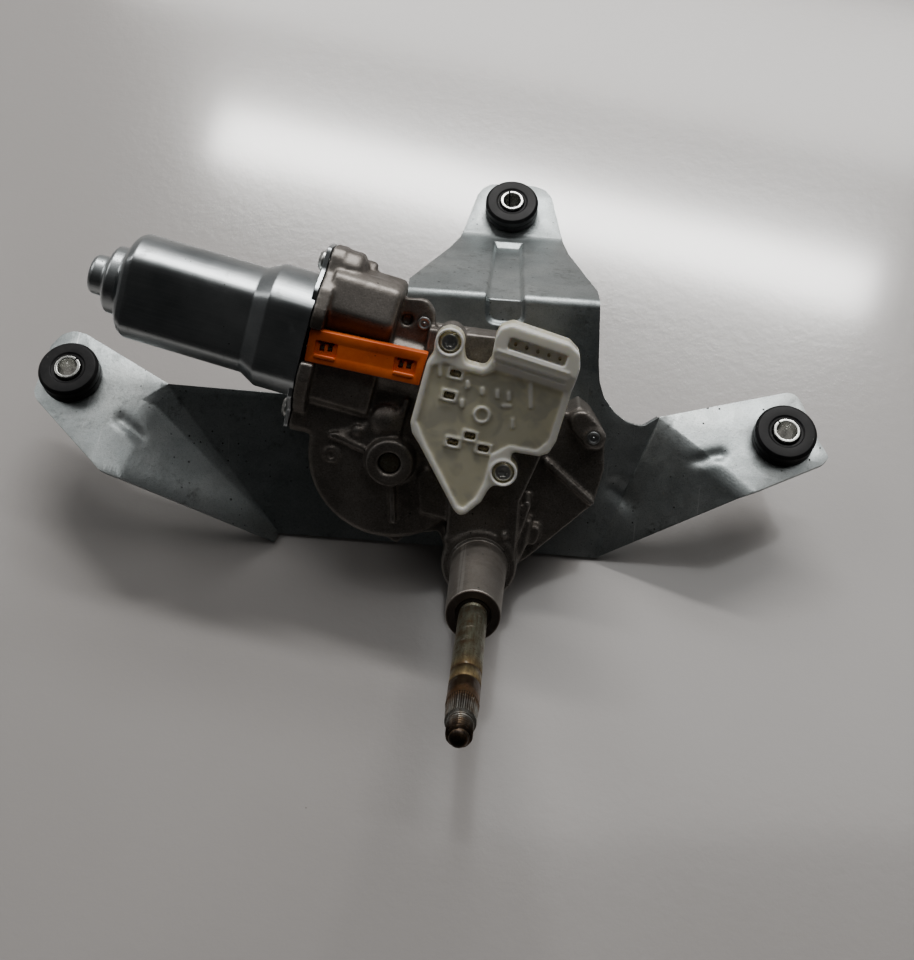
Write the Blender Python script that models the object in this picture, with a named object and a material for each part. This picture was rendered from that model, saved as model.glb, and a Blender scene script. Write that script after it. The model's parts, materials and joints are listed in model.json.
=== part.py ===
"""Rear-window wiper motor with its mounting bracket.

Two frames are used.  The motor frame (u, v, w) has w along the output shaft,
its zero on the front face of the bracket's main plate, and u across the
bracket.  The world frame is the motor frame tilted back by TILT about X, so
that the three rubber-mounted ears lie level and the lower edge of the main
plate and the rear grommet stand on z = 0.
"""
import math

import bmesh
import bpy
from mathutils import Matrix, Vector

# ---------------------------------------------------------------- dimensions
MM = 0.001
TILT = math.radians(41.73)          # main plate angle above the table
PLATE_LIFT = 5.76                   # height of the shaft axis at the plate
SHIFT_X, SHIFT_Y = 25.1, -29.97     # puts the origin under the box centre
GAP = 0.3                           # clearance between touching pieces

# bracket
SHEET_T = 2.0
EAR_Z = 40.39                       # top face of the two side ears
REAR_EAR_Z = 8.83                   # top face of the rear ear
RIDGE_V = 98.9                      # ridge bend, up the main plate
FOOT_V = -5.95                      # lower edge of the main plate
REAR_BEND_Y = 145.2
EAR_HOLE_R = 8.3
GROMMET_AT = {"left": (-169.0, 40.7, EAR_Z), "right": (114.8, 36.0, EAR_Z),
              "rear": (1.2, 160.5, REAR_EAR_Z)}
GROMMET_R = 12.0
GROMMET_NECK_R = 8.0
GROMMET_UP, GROMMET_DOWN = 7.5, -8.8
SLEEVE_OUT, SLEEVE_IN = 5.2, 3.9
SLEEVE_SLIT = 0.7

# output shaft and boss (axis u = v = 0)
SHAFT_R = 5.0
SHAFT_TIP_W = 171.0
THREAD_R = 4.0
BOSS_END_W = 83.5
LEDGE_W = 36.0
BOSS_BORE_R = 6.6

# gear train
GEAR_AT = (-36.0, 38.42)            # worm wheel axis
GEAR_W0, GEAR_W1 = 19.0, 27.0       # wheel face
WHEEL_TEETH = 40
WHEEL_PITCH_R = 28.0
WORM_PITCH_R = 7.0
WORM_CORE_R, WORM_TIP_R = 5.4, 8.1
PINION_TEETH = 10
SECTOR_TEETH = 34                   # teeth of the full circle it is cut from
GEAR_MODULE = 1.48
SECTOR_AT = (10.0, 30.99)
SECTOR_ARM = 20.0
SECTOR_SWING = 32.35                # degrees for the full wiper sweep
ROD_LENGTH = 50.45
WORM_HAND = 1.0                     # right-hand thread
WHEEL_TWIST = -1.0                  # the wheel's teeth lean with the worm
CRANK_AT = None                     # set by place_linkage
LINK_AT = None

# gear housing outlines, in the motor frame
CASE_RIBS = (78, 160, 275)          # degrees round the wheel axis
LOBE = [(-33.0, 1.2), (-29.6, 5.0), (-17.0, 7.6), (-13.0, -2.0),
        (-9.0, -8.2), (9.0, -8.2), (18.6, -0.6), (42.4, 23.6), (45.2, 37.6),
        (44.2, 50.2), (38.2, 58.6), (33.5, 62.0), (28.5, 58.5), (24.0, 68.0),
        (20.0, 80.0), (-12.0, 84.0), (-34.0, 74.0), (-54.0, 52.0),
        (-60.0, 30.0), (-49.0, 9.6)]
MIDDLE = [(-13.5, 4.0), (-13.0, 27.0), (-24.0, 48.0), (-26.0, 70.0),
          (-24.0, 90.0), (8.0, 88.0), (24.0, 80.0), (22.0, 50.0),
          (13.5, 26.0), (13.5, 4.0)]

# motor (axis runs from the flange towards -u)
FLANGE_AT = (-68.5, 81.4, 23.0)
AXIS_TURN = math.radians(-12.4)
YOKE_R, YOKE_FLAT = 19.9, 16.0
COLLAR_R, COLLAR_FLAT = 23.5, 19.5
SCREW_OFFSET = 28.8

# connector cover
COVER_W0, COVER_W1 = 37.2, 45.0
COVER = [(-28.4, 56.8), (-27.6, 53.0), (-24.6, 48.6), (-10.6, 24.6),
         (-8.4, 22.6), (-6.0, 23.4), (-0.6, 28.6), (1.4, 33.0),
         (3.0, 35.2), (7.6, 35.6), (11.2, 38.4), (11.2, 43.0),
         (9.0, 45.6), (9.4, 48.6), (19.0, 47.6), (22.6, 49.0),
         (24.9, 53.6), (31.0, 82.4), (30.4, 87.0), (26.6, 90.6),
         (6.2, 96.0), (2.0, 94.4), (0.4, 91.0), (-0.6, 82.4),
         (-2.6, 79.0), (-9.8, 80.4), (-10.6, 86.0), (-11.6, 90.6),
         (-15.4, 92.6), (-19.6, 91.0), (-21.2, 87.0), (-21.4, 83.0),
         (-23.6, 79.4)]
CONNECTOR = [(24.0, 72.0), (31.0, 82.0), (30.6, 87.0), (26.6, 90.6),
             (6.2, 96.0), (2.0, 94.4), (0.4, 91.0), (-0.4, 84.5),
             (4.0, 78.0)]
PINS = [(7.6, 88.6), (11.6, 87.6), (15.6, 86.6), (19.6, 85.6), (23.6, 84.6)]
WINDOWS = [(-13.0, 76.0), (-14.8, 67.8), (-6.4, 53.4), (-12.4, 50.6),
           (-1.2, 49.0)]

# terminal holder
STRIP = [(-68.2, 76.0), (-26.2, 69.9), (-23.4, 81.9), (-66.2, 88.0)]
STRIP_CHANNEL = [(-76.0, 76.8), (-12.0, 67.5), (-9.0, 80.0), (-74.0, 89.5)]
TERMINAL_AT = [(-60.4, 80.9), (-31.6, 76.8)]

# screws and rivets
COVER_SCREWS = [(-15.7, 87.2), (6.6, 40.6)]
BRACKET_SCREWS = [(-24.0, 72.0), (36.5, 45.0), (28.5, 17.5)]
LUG_RIVET = (39.6, 51.0)
TAB_RIVET = (-26.2, 90.8)
TAB_HOLE = (-32.6, 91.6)

SMOOTH_ANGLE = math.radians(35)     # round pieces are shaded smooth


# -------------------------------------------------------------------- frames
def world(u, v, w):
    """Motor frame in mm to world metres."""
    c, s = math.cos(TILT), math.sin(TILT)
    return Vector(((u + SHIFT_X) * MM, (v * c - w * s + SHIFT_Y) * MM,
                   (v * s + w * c + PLATE_LIFT) * MM))


def level(x, y, z):
    """Untilted frame in mm (ears level) to world metres."""
    return Vector(((x + SHIFT_X) * MM, (y + SHIFT_Y) * MM, z * MM))


def to_level(u, v, w):
    """Motor frame in mm to the untilted frame in mm."""
    c, s = math.cos(TILT), math.sin(TILT)
    return (u, v * c - w * s, v * s + w * c + PLATE_LIFT)


AXIS = (math.cos(AXIS_TURN), math.sin(AXIS_TURN))      # flange to worm
SIDE = (-AXIS[1], AXIS[0])                             # across the motor


def axial(t, side, up=0.0):
    """Motor-axis coordinates (t grows towards the end cap) to motor frame."""
    return (FLANGE_AT[0] - t * AXIS[0] + side * SIDE[0],
            FLANGE_AT[1] - t * AXIS[1] + side * SIDE[1],
            FLANGE_AT[2] + up)


# ----------------------------------------------------------------- materials
def material(name, color, metallic, roughness):
    mat = bpy.data.materials.new(name)
    mat.use_nodes = True
    bsdf = mat.node_tree.nodes["Principled BSDF"]
    bsdf.inputs["Base Color"].default_value = (*color, 1.0)
    bsdf.inputs["Metallic"].default_value = metallic
    bsdf.inputs["Roughness"].default_value = roughness
    return mat


PALETTE = {
    "zinc": ((0.42, 0.46, 0.48), 0.9, 0.38),
    "zinc_can": ((0.45, 0.48, 0.50), 0.9, 0.30),
    "rubber": ((0.02, 0.02, 0.022), 0.0, 0.6),
    "sleeve_steel": ((0.62, 0.63, 0.60), 1.0, 0.28),
    "cast_aluminium": ((0.24, 0.225, 0.20), 0.7, 0.55),
    "cover_steel": ((0.35, 0.36, 0.37), 0.9, 0.4),
    "ferrite": ((0.07, 0.07, 0.08), 0.1, 0.6),
    "bronze": ((0.55, 0.36, 0.18), 1.0, 0.4),
    "shaft_steel": ((0.35, 0.33, 0.29), 0.9, 0.45),
    "lamination": ((0.20, 0.20, 0.21), 0.8, 0.5),
    "copper": ((0.72, 0.30, 0.14), 1.0, 0.35),
    "orange_plastic": ((0.90, 0.20, 0.02), 0.0, 0.42),
    "carbon": ((0.03, 0.03, 0.03), 0.2, 0.7),
    "nylon": ((0.75, 0.72, 0.62), 0.0, 0.5),
    "acetal": ((0.82, 0.82, 0.80), 0.0, 0.45),
    "milky_plastic": ((0.78, 0.77, 0.70), 0.0, 0.38),
    "brass": ((0.75, 0.58, 0.28), 1.0, 0.3),
    "screw_steel": ((0.60, 0.60, 0.58), 1.0, 0.3),
    "black_seal": ((0.015, 0.015, 0.015), 0.0, 0.5),
}


def own_material(obj, kind):
    color, metallic, roughness = PALETTE[kind]
    obj.data.materials.append(material(obj.name + "_" + kind, color, metallic,
                                       roughness))


# -------------------------------------------------------------- mesh builders
def add_mesh(name, verts, faces, kind=None):
    mesh = bpy.data.meshes.new(name)
    mesh.from_pydata([tuple(v) for v in verts], [], faces)
    bm = bmesh.new()
    bm.from_mesh(mesh)
    bmesh.ops.recalc_face_normals(bm, faces=bm.faces)
    bm.to_mesh(mesh)
    bm.free()
    obj = bpy.data.objects.new(name, mesh)
    bpy.context.scene.collection.objects.link(obj)
    if kind:
        own_material(obj, kind)
    return obj


def loft(name, rings, kind=None, closed=False):
    """Skin through rings of equal length; closed joins the last to the first."""
    n = len(rings[0])
    verts = [p for ring in rings for p in ring]
    faces = []
    count = len(rings)
    for i in range(count if closed else count - 1):
        a, b = i * n, ((i + 1) % count) * n
        faces += [(a + k, a + (k + 1) % n, b + (k + 1) % n, b + k)
                  for k in range(n)]
    if not closed:
        faces.append(tuple(range(n)))
        faces.append(tuple((count - 1) * n + k for k in reversed(range(n))))
    return add_mesh(name, verts, faces, kind)


def prism(name, outline, w0, w1, kind=None, turn=0.0, about=(0.0, 0.0),
          layers=1):
    """Straight (or slightly twisted) extrusion of a (u, v) outline along w."""
    rings = []
    for i in range(layers + 1):
        f = i / layers
        a = turn * (f - 0.5)
        c, s = math.cos(a), math.sin(a)
        rings.append([world(about[0] + (u - about[0]) * c - (v - about[1]) * s,
                            about[1] + (u - about[0]) * s + (v - about[1]) * c,
                            w0 + (w1 - w0) * f) for u, v in outline])
    return loft(name, rings, kind)


def circle(cu, cv, r, n, a0=0.0):
    return [(cu + r * math.cos(a0 + 2 * math.pi * k / n),
             cv + r * math.sin(a0 + 2 * math.pi * k / n)) for k in range(n)]


def turned(name, centre, profile, n, kind=None, ring=False):
    """Lathe about w through centre; profile is (w, r) pairs.

    ring=True closes the profile on itself (a sleeve); otherwise the first and
    last radius are capped flat.
    """
    rings = [[world(u, v, w) for u, v in circle(centre[0], centre[1], r, n)]
             for w, r in profile]
    return loft(name, rings, kind, closed=ring)


def turned_axis(name, profile, n, kind=None, ring=False):
    """Lathe about the motor axis; profile is (t, r) pairs.

    A third value in a profile entry limits the height of that section, giving
    a round can with two flats.
    """
    rings = []
    for entry in profile:
        t, r = entry[0], entry[1]
        limit = entry[2] if len(entry) > 2 else None
        pts = []
        for k in range(n):
            a = 2 * math.pi * (k + 0.5) / n
            side, up = r * math.cos(a), r * math.sin(a)
            if limit is not None and abs(up) > limit:
                up = math.copysign(limit, up)
            pts.append(world(*axial(t, side, up)))
        rings.append(pts)
    return loft(name, rings, kind, closed=ring)


def axis_prism(name, outline, t0, t1, kind=None):
    """Extrusion along the motor axis of a (side, up) outline."""
    rings = [[world(*axial(t, a, b)) for a, b in outline] for t in (t0, t1)]
    return loft(name, rings, kind)


def level_turned(name, centre, profile, n, kind=None, ring=False):
    """Lathe about vertical in the untilted frame; profile is (z, r) pairs."""
    rings = [[level(x, y, z) for x, y in circle(centre[0], centre[1], r, n)]
             for z, r in profile]
    return loft(name, rings, kind, closed=ring)


def combine(target, operands, operation):
    """Add exact boolean modifiers and hide the operand solids."""
    for tool in operands:
        mod = target.modifiers.new(operation.lower() + "_" + tool.name,
                                   "BOOLEAN")
        mod.operation = operation
        mod.solver = "EXACT"
        mod.object = tool
        tool.hide_render = True
        tool.display_type = "WIRE"
        tool.hide_viewport = False
    return target


def cut(target, *tools):
    return combine(target, tools, "DIFFERENCE")


def fuse(target, *tools):
    return combine(target, tools, "UNION")


def box_outline(a0, a1, b0, b1, r=0.0):
    """Rectangle, with chamfered corners when r is given."""
    if r <= 0:
        return [(a0, b0), (a1, b0), (a1, b1), (a0, b1)]
    return [(a0 + r, b0), (a1 - r, b0), (a1, b0 + r), (a1, b1 - r),
            (a1 - r, b1), (a0 + r, b1), (a0, b1 - r), (a0, b0 + r)]


def slot_outline(p, q, r, n=6):
    """Stadium between two points."""
    a = math.atan2(q[1] - p[1], q[0] - p[0])
    pts = []
    for k in range(n + 1):
        b = a - math.pi / 2 + math.pi * k / n
        pts.append((q[0] + r * math.cos(b), q[1] + r * math.sin(b)))
    for k in range(n + 1):
        b = a + math.pi / 2 + math.pi * k / n
        pts.append((p[0] + r * math.cos(b), p[1] + r * math.sin(b)))
    return pts


# ------------------------------------------------------------ mounting bracket
def build_bracket():
    c, s = math.cos(TILT), math.sin(TILT)
    ridge = to_level(0, RIDGE_V, 0)
    down = (REAR_BEND_Y - ridge[1], REAR_EAR_Z - ridge[2])

    def plate(u, v):
        return level(*to_level(u, v, 0.0))

    def ear(x, y):
        return level(x, y, EAR_Z)

    def rear(x, y):
        return level(x, y, REAR_EAR_Z)

    def flap(x, f):
        return level(x, ridge[1] + down[0] * f, ridge[2] + down[1] * f)

    ear_bend_v = (EAR_Z - PLATE_LIFT) / s
    verts, index = [], {}

    def point(key, co):
        index[key] = len(verts)
        verts.append(co)

    # main plate
    point("V2", plate(-84.0, FOOT_V))
    point("R2", plate(47.0, FOOT_V))
    point("P1", plate(65.7, ear_bend_v))
    right_side = [(59.0, 50.6), (53.5, 52.0), (48.5, 55.5), (44.0, 61.0),
                  (41.6, 67.5), (40.6, 75.0)]
    for i, (u, v) in enumerate(right_side):
        point("mr%d" % i, plate(u, v))
    point("RR", plate(38.9, RIDGE_V))
    point("RL", plate(-35.6, RIDGE_V))
    left_side = [(-36.0, 70.0), (-37.5, 62.5), (-42.0, 56.0), (-49.0, 52.6)]
    for i, (u, v) in enumerate(left_side):
        point("ml%d" % i, plate(u, v))
    point("Q1", plate(-129.0, ear_bend_v))
    # left ear and its transition facet
    left_ear = [(-167.8, 60.9), (-172.9, 62.0), (-177.5, 60.0), (-181.0, 54.5),
                (-183.2, 33.0), (-181.8, 29.8), (-150.0, 0.9)]
    point("V1", ear(-136.0, 33.0))
    for i, p in enumerate(left_ear):
        point("le%d" % i, ear(*p))
    point("V3", ear(-145.0, -1.0))
    # right ear and its transition facet
    right_ear = [(130.2, 26.6), (133.0, 29.8), (129.4, 36.0), (123.2, 52.5),
                 (121.0, 56.5), (117.5, 57.6)]
    point("W3", ear(101.0, 11.2))
    for i, p in enumerate(right_ear):
        point("re%d" % i, ear(*p))
    # rear flap and rear ear
    point("fl", flap(-36.3, 0.15))
    point("fl2", flap(-24.2, 0.74))
    point("B2L", rear(-20.5, REAR_BEND_Y))
    point("B2R", rear(25.6, REAR_BEND_Y))
    point("fr2", flap(28.0, 0.76))
    point("fr", flap(38.4, 0.15))
    rear_ear = [(19.4, 169.5), (16.2, 173.8), (11.0, 175.6), (-9.5, 175.0),
                (-13.0, 172.4), (-15.0, 168.5)]
    for i, p in enumerate(rear_ear):
        point("te%d" % i, rear(*p))
    # stiffening bead: rim on the sheet, floor pressed inwards
    bead_d, bead_in = 2.6, 2.6
    rims = {"TL": flap(-5.4, 0.93), "TR": flap(7.6, 0.93),
            "CL": plate(-5.0, RIDGE_V), "CR": plate(9.4, RIDGE_V),
            "DL": plate(-4.6, RIDGE_V - 10.5),
            "DR": plate(11.0, RIDGE_V - 10.5)}
    plate_back = Vector((0.0, s, -c)) * bead_d * MM
    fn = Vector((0.0, down[1], -down[0])).normalized() * bead_d * MM
    floors = {"tl": flap(-5.4 + bead_in, 0.93 - 0.03) + fn,
              "tr": flap(7.6 - bead_in, 0.93 - 0.03) + fn,
              "cl": plate(-5.0 + bead_in, RIDGE_V)
              + Vector((0.0, 0.0, -bead_d * MM / c)),
              "cr": plate(9.4 - bead_in, RIDGE_V)
              + Vector((0.0, 0.0, -bead_d * MM / c)),
              "dl": plate(-4.6 + bead_in, RIDGE_V - 8.0) + plate_back,
              "dr": plate(11.0 - bead_in, RIDGE_V - 8.0) + plate_back}
    for key, co in list(rims.items()) + list(floors.items()):
        point(key, co)

    def face(*keys):
        return tuple(index[k] for k in keys)

    ml = ["ml%d" % i for i in range(len(left_side))]
    mr = ["mr%d" % i for i in range(len(right_side))]
    faces = [
        face("V2", "R2", "P1", *mr, "RR", "CR", "DR", "DL", "CL", "RL", *ml,
             "Q1"),
        face("Q1", "V1", "V2"),
        face("V1", "V3", "V2"),
        face("Q1", *["le%d" % i for i in range(len(left_ear))], "V3", "V1"),
        face("P1", "R2", "W3"),
        face("P1", "W3", *["re%d" % i for i in range(len(right_ear))]),
        face("RL", "CL", "TL", "B2L", "fl2", "fl"),
        face("RR", "fr", "fr2", "B2R", "TR", "CR"),
        face("TL", "TR", "B2R", "B2L"),
        face("B2L", "B2R", *["te%d" % i for i in range(len(rear_ear))]),
        face("CL", "cl", "tl", "TL"),
        face("TL", "tl", "tr", "TR"),
        face("TR", "tr", "cr", "CR"),
        face("CL", "DL", "dl", "cl"),
        face("DL", "DR", "dr", "dl"),
        face("DR", "CR", "cr", "dr"),
        face("cl", "cr", "tr", "tl"),
        face("dl", "dr", "cr", "cl"),
    ]
    obj = add_mesh("mounting_bracket", verts, faces, "zinc")
    # face normals must look up and forwards so the sheet grows backwards
    bm = bmesh.new()
    bm.from_mesh(obj.data)
    bmesh.ops.recalc_face_normals(bm, faces=bm.faces)
    top = max(bm.faces, key=lambda f: f.calc_area())
    if top.normal.z < 0:
        bmesh.ops.reverse_faces(bm, faces=bm.faces)
    bm.to_mesh(obj.data)
    bm.free()
    thick = obj.modifiers.new("sheet", "SOLIDIFY")
    thick.thickness = SHEET_T * MM
    thick.offset = -1.0
    thick.use_even_offset = True
    tools = []
    for side, (x, y, z) in GROMMET_AT.items():
        tools.append(level_turned("cut_ear_" + side, (x, y),
                                  [(z - 6, EAR_HOLE_R), (z + 4, EAR_HOLE_R)],
                                  22))
    for i, (u, v) in enumerate(BRACKET_SCREWS):
        tools.append(turned("cut_bracket_screw_%d" % i, (u, v),
                            [(-8, 2.6), (4, 2.6)], 16))
    cut(obj, *tools)
    return obj


def build_grommets():
    for side, (x, y, z) in GROMMET_AT.items():
        up, dn = z + GROMMET_UP, z + GROMMET_DOWN
        groove_top, groove_bot = z + GAP, z - SHEET_T - GAP
        ch = 1.0
        profile = [(up, SLEEVE_OUT + GAP), (up, GROMMET_R - ch),
                   (up - ch, GROMMET_R), (groove_top + 0.4, GROMMET_R),
                   (groove_top, GROMMET_R - 0.4),
                   (groove_top, GROMMET_NECK_R), (groove_bot, GROMMET_NECK_R),
                   (groove_bot, GROMMET_R - 0.4),
                   (groove_bot - 0.4, GROMMET_R), (dn + ch, GROMMET_R),
                   (dn, GROMMET_R - ch), (dn, SLEEVE_OUT + GAP)]
        level_turned("grommet_" + side, (x, y), profile, 22, "rubber",
                     ring=True)
        build_sleeve("sleeve_" + side, x, y, dn, up + 0.8)


def build_sleeve(name, x, y, z0, z1):
    """Rolled steel sleeve, open along one slit."""
    n = 18
    half = math.asin(SLEEVE_SLIT / 2 / SLEEVE_IN)
    angles = [half + (2 * math.pi - 2 * half) * k / n for k in range(n + 1)]
    ring = [(SLEEVE_OUT * math.cos(a), SLEEVE_OUT * math.sin(a))
            for a in angles]
    ring += [(SLEEVE_IN * math.cos(a), SLEEVE_IN * math.sin(a))
             for a in reversed(angles)]
    # quads round the rolled strip, so the ends carry no concave ngon
    verts = [level(x + a, y + b, z) for z in (z0, z1) for a, b in ring]
    m = len(ring)
    faces = []
    for k in range(m):
        faces.append((k, (k + 1) % m, m + (k + 1) % m, m + k))
    for k in range(n):
        lo = (k, k + 1, m - 2 - k, m - 1 - k)
        faces.append(lo)
        faces.append(tuple(m + i for i in reversed(lo)))
    return add_mesh(name, verts, faces, "sleeve_steel")


# ---------------------------------------------------------------- gear housing
def build_housing():
    g = GEAR_AT
    body = turned("gear_housing", g, [(2.1, 32.6), (29.4, 31.9), (31.0, 30.4)],
                  40, "cast_aluminium")
    add = [
        # worm tube
        turned_axis("add_worm_tube", [(-3.4, 12.37), (-66.5, 12.37)], 26),
        prism("add_lobe", LOBE, 2.15, 21.0),
        prism("add_middle", MIDDLE, 20.0, 35.0),
        # output boss with its ledge and drafted nose
        turned("add_boss", (0, 0), [(7.0, 14.6), (33.0, 14.6), (34.8, 14.1),
                                    (LEDGE_W, 13.2), (LEDGE_W + 0.01, 10.5),
                                    (BOSS_END_W - 0.8, 9.6),
                                    (BOSS_END_W, 8.9)], 28),
        # gear axle boss
        turned("add_axle_boss", g, [(28.0, 9.6), (37.2, 8.3)], 22),
        # upper block and lower block beside the terminal strip
        axis_prism("add_block_upper",
                   [(4.0, -15.5), (20.0, -15.5), (24.8, -9.0), (24.8, 10.0),
                    (21.0, 16.4), (12.0, 17.2), (6.8, 13.7), (4.0, 13.7)],
                   -4.2, -28.5),
        axis_prism("add_block_lower",
                   [(-24.0, -16.2), (5.3, -16.2), (5.3, 13.2), (-9.0, 13.2),
                    (-19.5, 11.5), (-24.0, 5.0)], -4.6, -28.0),
        # flange with its two screw ears
        axis_prism("add_flange",
                   [(-35.5, -5.5), (-33.0, -8.0), (-27.0, -8.5),
                    (-20.0, -17.0), (-12.0, -20.4), (12.0, -20.4),
                    (20.0, -17.0), (27.0, -8.5), (33.0, -8.0), (35.5, -5.5),
                    (35.5, 5.5), (33.0, 8.0), (27.0, 9.5), (22.0, 16.5),
                    (12.0, 20.4), (-12.0, 20.4), (-20.0, 17.0),
                    (-27.0, 8.5), (-33.0, 8.0), (-35.5, 5.5)], -0.3, -5.2),
        axis_prism("add_ear_upper", box_outline(20.0, 35.2, -6.9, 7.3, 3.4),
                   -1.0, -11.6),
        axis_prism("add_ear_lower", box_outline(-35.2, -20.0, -7.1, 7.6, 2.2),
                   -1.1, -11.4),
        # rib across the linkage cover, and its lug
        prism("add_rib", slot_outline((22.5, 39.8), (41.5, 24.6), 1.2, 4),
              20.0, 22.6),
        prism("add_lug", slot_outline((34.5, 56.5), (40.2, 50.5), 4.4, 6),
              20.0, 24.5),
        # flat tab beyond the block
        prism("add_tab", [(-40.0, 82.0), (-22.0, 80.0), (-19.0, 98.0),
                          (-36.0, 101.0)], 26.0, 30.0),
        # screw posts of the connector cover
        turned("add_post_a", COVER_SCREWS[0], [(28.0, 5.2), (36.9, 4.8)], 16),
        turned("add_post_b", COVER_SCREWS[1], [(28.0, 5.2), (36.9, 4.8)], 16),
        # web beside the boss
        prism("add_web", slot_outline((12.6, 10.0), (16.5, 25.0), 1.6, 4),
              20.0, 33.0),
        prism("add_nub", slot_outline((19.5, 8.5), (20.5, 12.5), 2.2, 4),
              20.0, 25.5),
    ]
    for i, a in enumerate(math.radians(rib) for rib in CASE_RIBS):
        p = (g[0] + 8.0 * math.cos(a), g[1] + 8.0 * math.sin(a))
        q = (g[0] + 24.0 * math.cos(a), g[1] + 24.0 * math.sin(a))
        add.append(prism("add_case_rib_%d" % i, slot_outline(p, q, 1.1, 4),
                         30.0, 33.2))
    fuse(body, *add)

    # the sector's space is swept by a fan round its pivot
    s = SECTOR_AT
    fan = [(s[0] + 28.2 * math.cos(math.radians(a)),
            s[1] + 28.2 * math.sin(math.radians(a)))
           for a in range(-152, -59, 8)]
    fan += [(23.0, 20.0), (27.0, 38.0), (24.0, 60.0), (2.0, 60.0),
            (-20.0, 60.0), (-20.0, 40.0)]
    tools = [
        turned("cut_wheel_space", g, [(0.0, 29.8), (28.6, 29.8)], 40),
        prism("cut_link_space", fan, 0.0, 14.2),
        turned("cut_boss_bore", (0, 0), [(-1.0, BOSS_BORE_R),
                                         (90.0, BOSS_BORE_R)], 22),
        turned("cut_seal_seat", (0, 0), [(80.6, 7.6), (90.0, 7.6)], 22),
        turned("cut_pinion_space", (0, 0), [(0.0, 9.4), (10.4, 9.4)], 20),
        turned_axis("cut_worm_bore", [(3.0, 9.0), (-63.4, 9.0)], 22),
        turned_axis("cut_flange_mouth", [(3.0, 20.0, 16.0),
                                         (-2.5, 20.0, 16.0)], 24),
        turned("cut_axle_hole", g, [(26.0, 4.3), (40.0, 4.3)], 18),
        turned("cut_sector_pin", s, [(10.0, 2.8), (17.0, 2.8)], 16),
        turned("cut_tab_hole", TAB_HOLE, [(20.0, 2.2), (34.0, 2.2)], 16),
        turned("cut_tab_rivet", TAB_RIVET, [(25.0, 1.9), (34.0, 1.9)], 16),
        turned("cut_lug_rivet", LUG_RIVET, [(18.0, 1.9), (30.0, 1.9)], 16),
        # channel for the orange terminal holder
        prism("cut_strip", STRIP_CHANNEL, 36.2, 60.0),
    ]
    for i, p in enumerate(COVER_SCREWS):
        tools.append(turned("cut_cover_screw_%d" % i, p,
                            [(27.5, 1.9), (40.0, 1.9)], 16))
    for i, side in enumerate((-SCREW_OFFSET, SCREW_OFFSET)):
        hole = [(side + 2.4 * math.cos(2 * math.pi * k / 16),
                 2.4 * math.sin(2 * math.pi * k / 16)) for k in range(16)]
        tools.append(axis_prism("cut_yoke_screw_%d" % i, hole, 5.0, -10.2))
    for i, p in enumerate(BRACKET_SCREWS):
        tools.append(turned("cut_body_screw_%d" % i, p,
                            [(-1.0, 2.3), (11.0, 2.3)], 16))
    cut(body, *tools)
    return body


def build_back_cover():
    """Pressed cover that closes the open back of the gear housing."""
    outline = [(-33.0, 2.4), (-29.0, 6.0), (-16.2, 8.6), (-12.0, -1.6),
               (-8.6, -6.0), (8.5, -6.0), (17.8, 0.4), (41.0, 24.0),
               (43.6, 37.8), (42.8, 49.6), (37.4, 57.2), (33.0, 60.0),
               (27.5, 56.0), (22.5, 60.5), (-12.0, 62.0), (-30.0, 68.6),
               (-45.0, 67.0), (-57.0, 58.5), (-64.2, 48.0), (-66.6, 38.0),
               (-65.0, 27.0), (-58.6, 16.8), (-49.0, 10.6), (-38.0, 7.6)]
    cover = prism("gear_back_cover", outline, 0.3, 1.8, "cover_steel")
    tools = [turned("cut_back_screw_%d" % i, p, [(-1, 2.6), (4, 2.6)], 16)
             for i, p in enumerate(BRACKET_SCREWS)]
    return cut(cover, *tools)


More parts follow.
